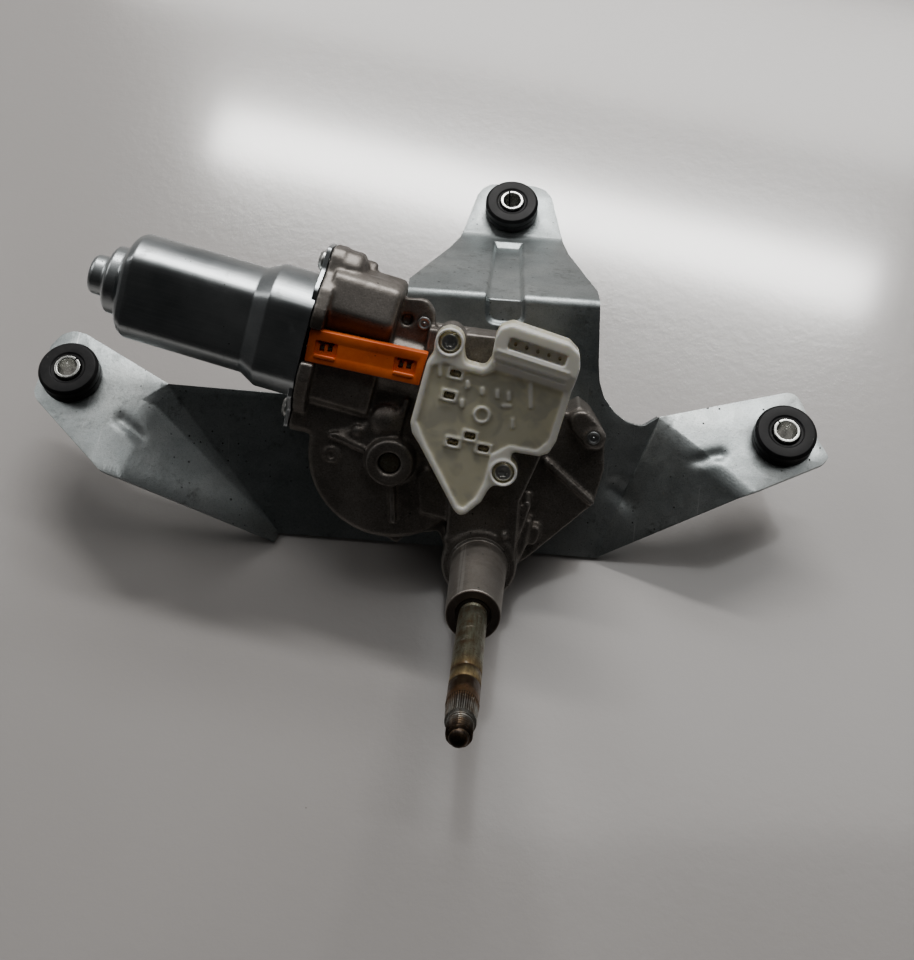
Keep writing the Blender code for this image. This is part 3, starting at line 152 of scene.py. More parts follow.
# ------------ shader building
class Shader:
    """A node material with a Principled BSDF and short calls for its nodes."""

    def __init__(self, name, metallic=0.0):
        self.mat = bpy.data.materials.new(name)
        self.mat.use_nodes = True
        self.tree = self.mat.node_tree
        self.bsdf = self.tree.nodes["Principled BSDF"]
        self.coord = self.node("TexCoord").outputs["Object"]
        self.set("Metallic", metallic)
        self.color = self.normal = None

    def node(self, kind, inputs=(), **settings):
        """A new node; inputs are (socket, value or other node's output)."""
        node = self.tree.nodes.new("ShaderNode" + kind)
        for key, value in settings.items():
            setattr(node, key, value)
        for key, value in inputs:
            self.link(value, node.inputs[key])
        return node

    def link(self, value, socket):
        if isinstance(value, bpy.types.NodeSocket):
            self.tree.links.new(value, socket)
        elif value is not None:
            socket.default_value = value

    def set(self, name, value):
        self.link(value, self.bsdf.inputs[name])

    def math(self, operation, a, b=None):
        return self.node("Math", [(0, a), (1, b)], operation=operation).outputs[0]

    plus, minus = partialmethod(math, "ADD"), partialmethod(math, "SUBTRACT")
    times, over = partialmethod(math, "MULTIPLY"), partialmethod(math, "DIVIDE")
    above, below = partialmethod(math, "GREATER_THAN"), partialmethod(math, "LESS_THAN")
    most = partialmethod(math, "MAXIMUM")

    def along(self, way, origin=(0, 0, 0)):
        """Distance in mm along a direction from an origin."""
        shift = self.node("VectorMath", [(0, self.coord), (1, origin)], operation="SUBTRACT")
        dot = self.node("VectorMath", [(0, shift.outputs[0]), (1, way)],
                        operation="DOT_PRODUCT")
        return self.times(dot.outputs["Value"], 1 / MM)

    def axes(self, *ways):
        """Coordinates in mm along three directions."""
        return self.node("CombineXYZ", enumerate(map(self.along, ways))).outputs[0]

    def polar(self):
        """Height, radius and angle about the output shaft, mm and radians."""
        origin = world(0, 0, 0)
        u, v = (self.along(direction(*way), origin) for way in ((1, 0), (0, 1)))
        radius = self.math("SQRT", self.plus(self.times(u, u), self.times(v, v)))
        return self.along(SHAFT_DIR, origin), radius, self.math("ARCTAN2", v, u)

    def noise(self, scale, detail=3.0, rough=0.55, vector=None, warp=0.0):
        return self.node("TexNoise", [
            ("Vector", vector or self.coord), ("Scale", scale), ("Detail", detail),
            ("Roughness", rough), ("Distortion", warp)]).outputs["Fac"]

    def cells(self, scale):
        """Distance to the nearest cell's middle, and its random channels."""
        node = self.node("TexVoronoi", [("Vector", self.coord), ("Scale", scale)])
        split = self.node("SeparateColor", [(0, node.outputs["Color"])])
        return node.outputs["Distance"], split.outputs

    def ramp(self, fac, *stops):
        """Colour ramp; a stop is (position, grey or colour)."""
        node = self.node("ValToRGB", [("Fac", fac)])
        points = node.color_ramp.elements
        while len(points) < len(stops):
            points.new(0.5)
        for point, (place, value) in zip(points, stops):
            point.position = place
            point.color = (*value, 1.0) if isinstance(value, tuple) else (*[value] * 3, 1.0)
        return node.outputs["Color"]

    def rise(self, fac, low, high, top=1.0):
        return self.ramp(fac, (low, 0.0), (high, top))

    def fall(self, fac, low, high, top=1.0):
        return self.ramp(fac, (low, top), (high, 0.0))

    def mix(self, fac, a, b, blend="MIX"):
        ends = [(*v, 1.0) if isinstance(v, tuple) else v for v in (a, b)]
        return self.node("Mix", [("Factor", fac), (6, ends[0]), (7, ends[1])],
                         data_type="RGBA", blend_type=blend).outputs[2]

    def paint(self, color, mask=None, share=None):
        """Lay a colour over what is there, by a mask and a share of it."""
        if share is not None:
            mask = self.times(mask, share)
        self.color = color if mask is None else self.mix(mask, self.color, color)
        self.set("Base Color", self.color)

    def span(self, fac, low, high):
        """Map 0..1 to low..high."""
        return self.node("MapRange", [("Value", fac), ("To Min", low),
                                      ("To Max", high)]).outputs["Result"]

    def rough(self, fac, low, high, *extras):
        """Roughness from low to high, and more by (mask, amount) pairs."""
        value = self.span(fac, low, high)
        for mask, amount in extras:
            value = self.plus(value, self.times(mask, amount))
        self.set("Roughness", value)

    def bump(self, height, distance, strength=1.0):
        node = self.node("Bump", [("Height", height), ("Distance", distance),
                                  ("Strength", strength), ("Normal", self.normal)])
        self.normal = node.outputs["Normal"]
        self.set("Normal", self.normal)

    def glow(self, weight, radius, scale):
        for name, value in (("Weight", weight), ("Radius", radius), ("Scale", scale)):
            self.set("Subsurface " + name, value)

    def edges(self, low, high):
        """1 on convex edges of a dense mesh."""
        return self.rise(self.node("NewGeometry").outputs["Pointiness"], low, high)

    def hollows(self, low, high):
        """1 in corners and grooves of a dense mesh."""
        return self.fall(self.node("NewGeometry").outputs["Pointiness"], low, high)

    def specks(self, scale, amount, size):
        """Scattered dots: amount is the share of cells that carry one."""
        distance, chance = self.cells(scale)
        return self.times(self.fall(distance, size * 0.6, size), self.below(chance[0], amount))

    def scratches(self, scale, share):
        """Thin straight marks in a few directions."""
        out = None
        for turn, stretch in ((0.4, 40), (1.3, 55), (2.2, 48)):
            space = self.node("Mapping", [("Vector", self.coord),
                                          ("Scale", (stretch * 12, 1.5 * 12, 12)),
                                          ("Rotation", (0.3, 0.2, turn))])
            line = self.rise(self.noise(1.0, 2, 0.4, space.outputs["Vector"]), 0.735, 0.765)
            out = line if out is None else self.most(out, line)
        return self.times(out, self.rise(self.noise(scale, 2), share, share + 0.15))


# ------------ materials
def zinc_sheet():
    s = Shader("zinc_sheet", 1.0)
    cloud, grain = s.noise(22, 4, 0.6), s.noise(900, 3, 0.6)
    _, spangle = s.cells(210)
    s.paint(s.ramp(cloud, (0.32, (0.335, 0.38, 0.385)), (0.52, (0.44, 0.48, 0.485)),
                   (0.70, (0.52, 0.55, 0.545))))
    s.paint(s.mix(0.10, s.color, s.ramp(spangle[0], (0.0, 0.25), (1.0, 0.65)), "OVERLAY"))
    s.paint((0.66, 0.68, 0.67), s.rise(grain, 0.35, 0.75, 0.30))
    s.paint((0.10, 0.115, 0.12), s.fall(s.noise(2300, 3, 0.7), 0.30, 0.47, 0.55))
    dirt = s.times(s.rise(s.noise(70, 5, 0.7), 0.53, 0.70),
                   s.rise(s.noise(420, 4, 0.6), 0.44, 0.62))
    s.paint((0.06, 0.06, 0.055), dirt, 0.65)
    spots = s.times(s.most(s.specks(190, 0.20, 0.14), s.specks(460, 0.14, 0.22)),
                    s.ramp(s.noise(30, 3), (0.40, 0.15), (0.60, 1.0)))
    s.paint((0.015, 0.015, 0.014), spots)
    s.paint((0.75, 0.77, 0.77), s.scratches(60, 0.40), 0.5)
    s.rough(cloud, 0.34, 0.52, (spangle[1], 0.05), (spots, 0.3))
    s.bump(s.noise(45, 3, 0.5), 0.0006, 0.45)
    s.bump(s.noise(260, 3, 0.6), 0.00018, 0.5)
    s.bump(grain, 0.00008, 0.6)
    s.bump(spots, 0.0001, 0.4)
    return s.mat


def zinc_can():
    s = Shader("zinc_can", 1.0)
    drawn = s.noise(1.6, 4, 0.6, s.axes(MOTOR_DIR * 0.03, MOTOR_SIDE, SHAFT_DIR))
    cloud = s.noise(40, 4, 0.6)
    s.paint(s.ramp(cloud, (0.3, (0.35, 0.38, 0.395)), (0.7, (0.54, 0.57, 0.58))))
    s.paint((0.66, 0.68, 0.68), s.rise(drawn, 0.4, 0.75, 0.3))
    stain = s.rise(s.noise(90, 5, 0.7), 0.60, 0.74, 0.55)
    s.paint((0.10, 0.10, 0.095), stain)
    s.paint((0.02, 0.02, 0.02), s.most(s.specks(150, 0.10, 0.09), s.specks(520, 0.10, 0.15)))
    s.rough(cloud, 0.26, 0.40, (stain, 0.3))
    s.bump(s.noise(60, 3, 0.5), 0.0005, 0.3)
    s.bump(drawn, 0.00005, 0.4)
    s.bump(s.noise(1100, 2, 0.5), 0.00003, 0.35)
    return s.mat


def cast_aluminium():
    s = Shader("cast_aluminium", 0.9)
    grain = s.noise(1500, 4, 0.7)
    s.paint(s.ramp(s.noise(55, 5, 0.65), (0.30, (0.135, 0.122, 0.108)),
                   (0.55, (0.245, 0.223, 0.202)), (0.75, (0.32, 0.296, 0.268))))
    s.paint((0.07, 0.062, 0.055), s.fall(grain, 0.30, 0.5, 0.6))
    s.paint((0.50, 0.475, 0.44), s.rise(grain, 0.56, 0.74, 0.55))
    s.paint((0.60, 0.58, 0.55), s.edges(0.515, 0.58), 0.6)
    # painted shade: the casting's corners and grooves are darkened
    s.paint((0.045, 0.038, 0.032), s.hollows(0.42, 0.485), 0.75)
    # the output boss is cleaner, with an oily end face
    height, radius, _ = s.polar()
    boss = s.times(s.below(radius, 11.2), s.above(height, 34.0))
    s.paint((0.38, 0.35, 0.32), boss, 0.42)
    s.paint((0.055, 0.038, 0.030), s.times(boss, s.above(height, BOSS_END_W - 0.3)), 0.85)
    # the worm tube's block: painted highlight on its top, painted shade where the orange strip
    # meets it
    side = s.along(MOTOR_SIDE, axial(0, 0))
    block = s.times(s.below(s.along(MOTOR_DIR, axial(-29.0, 0)), 0.0), s.above(height, 27.0))
    low = s.fall(s.over(side, 20.0), 0.64, 0.76)
    s.paint((0.04, 0.034, 0.029), s.times(block, s.times(low, s.above(side, 2.5))), 0.8)
    s.paint((0.46, 0.43, 0.40), s.times(block, s.above(side, 15.0)), 0.3)
    grime = s.times(s.rise(s.noise(38, 5, 0.7), 0.52, 0.68), 0.55)
    s.paint((0.09, 0.075, 0.062), grime)
    spots = s.specks(380, 0.12, 0.16)
    s.paint((0.02, 0.018, 0.016), spots, 0.85)
    s.rough(grain, 0.40, 0.58, (grime, 0.25))
    s.bump(s.noise(120, 3, 0.5), 0.0003, 0.35)
    s.bump(grain, 0.00010, 0.65)
    s.bump(spots, 0.0002, 0.3)
    return s.mat


def rubber():
    s = Shader("moulded_rubber")
    dust = s.noise(160, 5, 0.7)
    s.paint(s.ramp(dust, (0.45, (0.005, 0.005, 0.006)), (0.80, (0.020, 0.020, 0.019))))
    s.paint((0.28, 0.27, 0.25), s.specks(700, 0.06, 0.14), 0.6)
    s.rough(dust, 0.34, 0.62)
    s.set("Specular IOR Level", 0.22)
    s.bump(s.noise(1400, 3, 0.6), 0.00005, 0.4)
    s.bump(s.noise(220, 3), 0.00012, 0.3)
    return s.mat


def steel(name, dark, light, rough, stain=0.3, metallic=1.0):
    s = Shader(name, metallic)
    cloud, fine = s.noise(130, 5, 0.65), s.noise(1500, 3, 0.6)
    s.paint(s.ramp(cloud, (0.3, dark), (0.62, light)))
    s.paint(tuple(min(1.0, c * 1.35) for c in light), s.rise(fine, 0.58, 0.75, 0.35))
    marks = s.rise(s.noise(260, 5, 0.7), 0.60, 0.72, stain)
    s.paint((0.10, 0.075, 0.05), marks)
    s.rough(fine, rough - 0.05, rough + 0.09, (marks, 0.5))
    s.bump(fine, 0.00004, 0.4)
    s.bump(cloud, 0.0002, 0.25)
    return s.mat


def shaft_steel():
    """Oiled steel whose stains lie in bands along the shaft."""
    s = Shader("shaft_steel_banded")
    height, _, angle = s.polar()
    wobble = s.times(s.minus(s.noise(260, 4, 0.6), 0.5), 7.0)
    # the ramp runs over 90 mm from just above the boss
    place = s.over(s.minus(s.plus(height, wobble), 84.0), 90.0)
    s.paint(s.ramp(
        place, (0.0, (0.21, 0.22, 0.17)), (0.42, (0.27, 0.275, 0.20)),
        (0.505, (0.30, 0.24, 0.12)), (0.53, (0.10, 0.055, 0.03)), (0.555, (0.36, 0.30, 0.16)),
        (0.60, (0.38, 0.28, 0.13)), (0.625, (0.034, 0.014, 0.008)),
        (0.68, (0.030, 0.013, 0.008)), (0.705, (0.18, 0.085, 0.035)),
        (0.755, (0.15, 0.085, 0.045)), (0.785, (0.42, 0.42, 0.40)),
        (0.865, (0.44, 0.44, 0.41)), (0.90, (0.16, 0.145, 0.13)),
        (0.925, (0.045, 0.034, 0.030)), (1.0, (0.018, 0.013, 0.012))))
    across = Vector((1, 0, 0))
    drip = s.noise(0.9, 5, 0.7, s.axes(SHAFT_DIR * 0.12, across, SHAFT_DIR.cross(across)))
    pits = s.rise(s.noise(520, 5, 0.75), 0.57, 0.66, 0.9)
    s.paint((0.10, 0.065, 0.032), s.rise(drip, 0.38, 0.62, 0.75))
    s.paint((0.13, 0.065, 0.025), s.rise(s.noise(170, 5, 0.75), 0.50, 0.62, 0.6))
    s.paint((0.045, 0.022, 0.012), pits)
    s.paint((0.52, 0.50, 0.42), s.rise(s.noise(330, 4, 0.6), 0.60, 0.72, 0.5))
    # painted shade in the valleys of the knurl and in the roots of the thread
    comb = s.math("COSINE", s.times(angle, float(KNURL_TEETH)))
    knurled = s.times(s.above(height, KNURL0), s.below(height, KNURL1))
    valley = s.times(s.rise(comb, 0.05, 0.75), knurled)
    turn = s.math("FRACT", s.minus(s.over(height, THREAD_PITCH), s.over(angle, TURN)))
    ridge = s.math("ABSOLUTE", s.minus(s.times(turn, 2.0), 1.0))
    root = s.times(s.rise(ridge, 0.30, 0.70), s.above(height, KNURL1 + 0.6))
    s.paint((0.02, 0.014, 0.010), s.most(valley, root), 0.92)
    s.set("Metallic", s.span(pits, 0.85, 0.35))
    s.rough(drip, 0.28, 0.5, (pits, 0.3))
    s.bump(s.noise(900, 4, 0.7), 0.00010, 0.6)
    s.bump(pits, 0.00015, -0.5)
    return s.mat


def plastic(name, dark, light, rough, subsurface=0.0):
    s = Shader(name)
    fine = s.noise(1600, 3, 0.55)
    s.paint(s.ramp(s.noise(90, 4, 0.6), (0.32, dark), (0.66, light)))
    s.paint(tuple(c * 0.35 for c in dark), s.rise(s.noise(210, 5, 0.7), 0.58, 0.76), 0.35)
    s.paint((0.03, 0.025, 0.02), s.specks(460, 0.05, 0.13), 0.8)
    s.rough(fine, rough - 0.05, rough + 0.10)
    if subsurface:
        s.glow(subsurface, (1.0, 0.7, 0.4), 0.0012)
    s.bump(fine, 0.00004, 0.35)
    s.bump(s.noise(150, 3), 0.0002, 0.2)
    return s.mat


def milky_plastic():
    """Translucent cover: the leads under it show as soft shapes."""
    s = Shader("milky_plastic")
    s.paint(s.ramp(s.noise(60, 4, 0.6), (0.3, (0.82, 0.775, 0.58)), (0.7, (0.93, 0.89, 0.70))))
    height, _, _ = s.polar()
    # warmer towards the pin block and paler on its thick top; painted highlight on the edges
    ends = s.over(s.minus(s.along(direction(0, 1), world(0, 0, 0)), 72.0), 18.0)
    s.paint((0.88, 0.80, 0.58), s.rise(ends, 0.0, 0.7), 0.45)
    s.paint((0.42, 0.42, 0.38), s.rise(s.noise(120, 2, 0.4, warp=0.8), 0.44, 0.60, 0.42))
    solid = s.rise(s.over(s.minus(height, 40.0), 10.0), 0.43, 0.49)
    s.paint((0.95, 0.93, 0.86), solid, 0.9)
    # painted highlight: the convex edges are made nearly white
    edge = s.edges(0.505, 0.57)
    s.paint((0.98, 0.97, 0.93), edge, 0.85)
    dirt = s.rise(s.noise(300, 5, 0.7), 0.58, 0.72, 0.6)
    s.paint((0.16, 0.13, 0.09), s.times(dirt, s.hollows(0.44, 0.495)))
    s.rough(s.noise(900, 3), 0.26, 0.42)
    s.glow(0.35, (1.0, 0.9, 0.6), 0.0025)
    s.set("Transmission Weight", s.span(s.most(solid, edge), 0.27, 0.03))
    s.set("IOR", 1.45)
    s.bump(s.noise(1300, 3, 0.5), 0.00004, 0.3)
    s.bump(s.noise(140, 3), 0.00025, 0.25)
    return s.mat


def copper():
    s = Shader("wound_copper", 1.0)
    turn = s.axes(MOTOR_DIR, MOTOR_SIDE * 0.15, SHAFT_DIR * 0.15)
    wire = s.node("TexWave", [("Vector", turn), ("Scale", 0.7), ("Distortion", 1.5)],
                  wave_type="BANDS", bands_direction="X").outputs["Fac"]
    s.paint(s.ramp(wire, (0.1, (0.20, 0.07, 0.03)), (0.6, (0.62, 0.26, 0.12))))
    s.paint((0.30, 0.16, 0.09), s.rise(s.noise(300, 4), 0.5, 0.8, 0.5))
    s.rough(s.noise(700), 0.26, 0.46)
    s.bump(wire, 0.0003, 0.6)
    return s.mat


def floor_material():
    s = Shader("pale_table")
    s.paint(s.ramp(s.noise(3.5, 4, 0.6), (0.3, (0.46, 0.437, 0.423)),
                   (0.7, (0.505, 0.482, 0.468))))
    s.paint((0.12, 0.11, 0.10), s.specks(60, 0.05, 0.02), 0.7)
    s.rough(s.noise(18, 4), 0.16, 0.24)
    s.set("Coat Weight", 0.9)
    s.set("Coat IOR", 1.58)
    s.set("Coat Roughness", s.span(s.noise(420, 3, 0.7), 0.07, 0.14))
    s.bump(s.noise(190, 4, 0.65), 0.00016, 0.6)
    s.bump(s.noise(900, 3, 0.6), 0.00004, 0.6)
    return s.mat


# slot name to material; steels and plastics go from a dark to a light colour
MATERIALS = {
    "zinc": zinc_sheet(),
    "zinc_can": zinc_can(),
    "rubber": rubber(),
    "sleeve_steel": steel("sleeve_steel_worn", (0.42, 0.43, 0.41), (0.72, 0.73, 0.70),
                          0.24, 0.25),
    "cast_aluminium": cast_aluminium(),
    "cover_steel": steel("cover_steel_dull", (0.20, 0.21, 0.215), (0.36, 0.37, 0.375),
                         0.38, 0.5, 0.9),
    "ferrite": plastic("ferrite_dark", (0.03, 0.03, 0.032), (0.075, 0.075, 0.08), 0.55),
    "bronze": steel("sintered_bronze", (0.32, 0.19, 0.08), (0.56, 0.37, 0.19), 0.38, 0.2),
    "shaft_steel": shaft_steel(),
    "lamination": steel("lamination_steel", (0.12, 0.12, 0.125), (0.26, 0.26, 0.27),
                        0.42, 0.5, 0.85),
    "copper": copper(),
    "orange_plastic": plastic("orange_moulding", (0.68, 0.105, 0.012),
                              (0.84, 0.165, 0.022), 0.40, 0.12),
    "carbon": plastic("pressed_carbon", (0.012, 0.012, 0.012), (0.045, 0.045, 0.045), 0.6),
    "nylon": plastic("nylon_pad", (0.60, 0.57, 0.47), (0.74, 0.71, 0.61), 0.42, 0.2),
    "acetal": plastic("acetal_white", (0.66, 0.66, 0.63), (0.82, 0.82, 0.79), 0.36, 0.25),
    "milky_plastic": milky_plastic(),
    "brass": steel("contact_brass", (0.30, 0.25, 0.17), (0.58, 0.50, 0.36), 0.26, 0.35),
    "screw_steel": steel("screw_steel_bright", (0.58, 0.58, 0.56), (0.88, 0.88, 0.85),
                         0.32, 0.35),
    "black_seal": plastic("seal_rubber", (0.012, 0.008, 0.006), (0.045, 0.032, 0.024), 0.45),
}


# ------------ outlines
def fillet(points, radius, steps=4, closed=False):
    """Round the corners of a polyline of 2-D points."""
    out = []
    n = len(points)
    for i, p in enumerate(points):
        if not closed and i in (0, n - 1):
            out.append(p)
            continue
        a, b = points[i - 1], points[(i + 1) % n]
        ua, ub = (a[0] - p[0], a[1] - p[1]), (b[0] - p[0], b[1] - p[1])
        la, lb = math.hypot(*ua), math.hypot(*ub)
        cosine = (ua[0] * ub[0] + ua[1] * ub[1]) / (la * lb)
        half = math.acos(max(-1.0, min(1.0, cosine))) / 2
        if half > 1.5:              # all but straight
            out.append(p)
            continue
        cut = min(radius / math.tan(half), 0.45 * la, 0.45 * lb)
        s = (p[0] + ua[0] / la * cut, p[1] + ua[1] / la * cut)
        e = (p[0] + ub[0] / lb * cut, p[1] + ub[1] / lb * cut)
        for f in (k / steps for k in range(steps + 1)):
            out.append(tuple((1 - f) ** 2 * s[j] + 2 * f * (1 - f) * p[j] + f * f * e[j]
                             for j in (0, 1)))
    return out


def rounded(outline, radius, steps=3):
    return fillet(outline, radius, steps, closed=True)


def circle(cu, cv, r, n):
    return [(cu + r * math.cos(TURN * k / n), cv + r * math.sin(TURN * k / n))
            for k in range(n)]


def slot_outline(p, q, r, n=10):
    """A round-ended slot from p to q."""
    a = math.atan2(q[1] - p[1], q[0] - p[0])
    return [(x + r * math.cos(start + math.pi * k / n), y + r * math.sin(start + math.pi * k / n))
            for (x, y), start in ((q, a - math.pi / 2), (p, a + math.pi / 2))
            for k in range(n + 1)]


def slanted(u, v, half_len, half_wid, angle):
    """A rectangle turned about its middle."""
    c, s = math.cos(angle), math.sin(angle)
    return [(u + a * half_len * c - b * half_wid * s, v + a * half_len * s + b * half_wid * c)
            for a, b in ((-1, -1), (1, -1), (1, 1), (-1, 1))]


def ccw(outline):
    """The outline, turned round if it runs clockwise."""
    area = sum(p[0] * q[1] - q[0] * p[1]
               for p, q in zip(outline, outline[1:] + outline[:1]))
    return outline[::-1] if area < 0 else outline


def inset(outline, d):
    """Offset a counter-clockwise outline inwards."""
    if d <= 1e-9:
        return list(outline)
    n, pts = len(outline), []
    for i in range(n):
        p0, p1, p2 = outline[i - 1], outline[i], outline[(i + 1) % n]
        e1 = (p1[0] - p0[0], p1[1] - p0[1])
        e2 = (p2[0] - p1[0], p2[1] - p1[1])
        l1, l2 = math.hypot(*e1) or 1e-9, math.hypot(*e2) or 1e-9
        n1, n2 = (-e1[1] / l1, e1[0] / l1), (-e2[1] / l2, e2[0] / l2)
        k = d / max(0.4, 1.0 + n1[0] * n2[0] + n1[1] * n2[1])
        pts.append((p1[0] + (n1[0] + n2[0]) * k, p1[1] + (n1[1] + n2[1]) * k))
    return pts


# ------------ mesh helpers
@contextmanager
def editing(mesh):
    """Change a mesh in place, as a bmesh."""
    bm = bmesh.new()
    bm.from_mesh(mesh)
    yield bm
    bm.to_mesh(mesh)
    bm.free()


def new_object(name, data):
    obj = bpy.data.objects.new(name, data)
    bpy.context.scene.collection.objects.link(obj)
    return obj


def new_mesh(name, verts, faces):
    mesh = bpy.data.meshes.new(name)
    mesh.from_pydata([tuple(v) for v in verts], [], faces)
    return mesh


def shade(obj, angle=SHARP):
    obj.data.shade_smooth()
    obj.data.set_sharp_from_angle(angle=math.radians(angle))


def add_mesh(name, verts, faces, angle=SHARP):
    obj = new_object(name, new_mesh(name, verts, faces))
    with editing(obj.data) as bm:
        bmesh.ops.recalc_face_normals(bm, faces=bm.faces)
    shade(obj, angle)
    return obj


def loft(name, rings, closed=False, angle=SHARP):
    """Skin over rings of points; open ends are capped."""
    n, count = len(rings[0]), len(rings)
    faces = []
    for i in range(count if closed else count - 1):
        a, b = i * n, ((i + 1) % count) * n
        faces += [(a + k, a + (k + 1) % n, b + (k + 1) % n, b + k) for k in range(n)]
    if not closed:
        faces.append(tuple(range(n)))
        faces.append(tuple((count - 1) * n + k for k in reversed(range(n))))
    return add_mesh(name, [p for ring in rings for p in ring], faces, angle)


def turned(name, centre, profile, n, ring=False, point=world, angle=SHARP):
    """Lathe about w (or about vertical with point=level).

    A profile entry is (w, r); r may be a function of the angle.
    """
    rings = []
    for w, r in profile:
        pts = []
        for a in (TURN * k / n for k in range(n)):
            q = r(a) if callable(r) else r
            pts.append(point(centre[0] + q * math.cos(a), centre[1] + q * math.sin(a), w))
        rings.append(pts)
    return loft(name, rings, ring, angle)


def hoop(name, centre, section, radius, steps, n, **more):
    """Lathe a closed cross-section with rounded corners."""
    return turned(name, centre, rounded(section, radius, steps), n, ring=True, **more)


def prism(name, outline, w0, w1, edge=0.0, steps=3):
    """Extrusion along w with rounded top and bottom edges."""
    if edge <= 0:
        return loft(name, [[world(u, v, w) for u, v in outline] for w in (w0, w1)])
    curve = [(edge * (1 - math.sin(a)), edge * (1 - math.cos(a)))
             for a in (k / steps * math.pi / 2 for k in range(steps + 1))]
    ends = [(d, w0 + h) for d, h in curve] + [(d, w1 - h) for d, h in reversed(curve)]
    return loft(name, [[world(u, v, w) for u, v in inset(ccw(outline), d)] for d, w in ends])


def axis_loft(name, outlines, **more):
    """Skin along the motor axis over (t, outline) pairs."""
    return loft(name, [[axial(t, a, b) for a, b in outline] for t, outline in outlines], **more)


def axis_bar(corners, t0, t1, edge):
    """Bar along the motor axis; its corners and its end at t1 are rounded."""
    outline = ccw(rounded(corners, 3.0, 5))
    way = math.copysign(1.0, t1 - t0)
    ends = [(t0, 0.0)]
    for a in (k / 4 * math.pi / 2 for k in range(5)):
        ends.append((t1 - way * edge * (1 - math.sin(a)), edge * (1 - math.cos(a))))
    return axis_loft("add", [(t, inset(outline, d)) for t, d in ends])


def modify(obj, kind, **settings):
    """Give the object the mesh that one modifier makes of it."""
    mod = obj.modifiers.new(kind, kind)
    for key, value in settings.items():
        setattr(mod, key, value)
    bpy.context.view_layer.update()
    graph = bpy.context.evaluated_depsgraph_get()
    old, mesh = obj.data, bpy.data.meshes.new_from_object(obj.evaluated_get(graph))
    obj.modifiers.clear()
    obj.data = mesh
    bpy.data.meshes.remove(old)


def bevelled(obj, width, segments=3, angle=30.0, shade_angle=SHARP):
    modify(obj, "BEVEL", width=width * MM, segments=segments, limit_method="ANGLE",
           angle_limit=math.radians(angle))
    shade(obj, shade_angle)
    return obj


def carve(obj, *tools, operation="DIFFERENCE"):
    """Exact booleans; the tools are removed."""
    for tool in tools:
        modify(obj, "BOOLEAN", operation=operation, solver="EXACT", object=tool)
        bpy.data.objects.remove(tool)
    return obj


def join(obj, extras):
    """Put the extras' faces into obj's mesh."""
    with editing(obj.data) as bm:
        for extra in extras:
            bm.from_mesh(extra.data)
            bpy.data.objects.remove(extra)


def melt(obj, voxel):
    """Turn overlapping solids into one skin."""
    modify(obj, "REMESH", mode="VOXEL", voxel_size=voxel)


def soften(mesh, rounds, strength=0.5):
    """Move every vertex towards the middle of its neighbours."""
    count = len(mesh.vertices)
    co = np.empty(count * 3, np.float64)
    mesh.vertices.foreach_get("co", co)
    co = co.reshape(-1, 3)
    edges = np.empty(len(mesh.edges) * 2, np.int32)
    mesh.edges.foreach_get("vertices", edges)
    a, b = edges.reshape(-1, 2).T
    degree = np.maximum(np.bincount(a, minlength=count) + np.bincount(b, minlength=count), 1)
    for _ in range(rounds):
        for axis in range(3):
            total = np.bincount(a, weights=co[b, axis], minlength=count)
            total += np.bincount(b, weights=co[a, axis], minlength=count)
            co[:, axis] += strength * (total / degree - co[:, axis])
    mesh.vertices.foreach_set("co", co.astype(np.float32).ravel())
    mesh.update()


def cast(obj, extras, voxel, rounds):
    """Melt overlapping solids together and soften their edges."""
    join(obj, extras)
    melt(obj, voxel)
    soften(obj.data, rounds)
    obj.data.shade_smooth()


def cad_copy(node, name):
    """Copy of a CAD node's mesh with flat faces merged back together."""
    mesh = frame["nodes"][node].data.copy()
    mesh.name = name
    with editing(mesh) as bm:
        bmesh.ops.remove_doubles(bm, verts=bm.verts, dist=2e-6)
        bmesh.ops.dissolve_limit(bm, angle_limit=math.radians(1.5), verts=bm.verts,
                                 edges=bm.edges)
        bmesh.ops.recalc_face_normals(bm, faces=bm.faces)
    return new_object(name, mesh)


def finish(obj, slot, *nodes, body="frame"):
    """Give the piece its slot's material, put it on its body and hide the CAD nodes that it
    stands for.
    """
    obj.data.materials.clear()
    obj.data.materials.append(MATERIALS[slot])
    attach(obj, body)
    if nodes:
        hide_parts(*nodes)


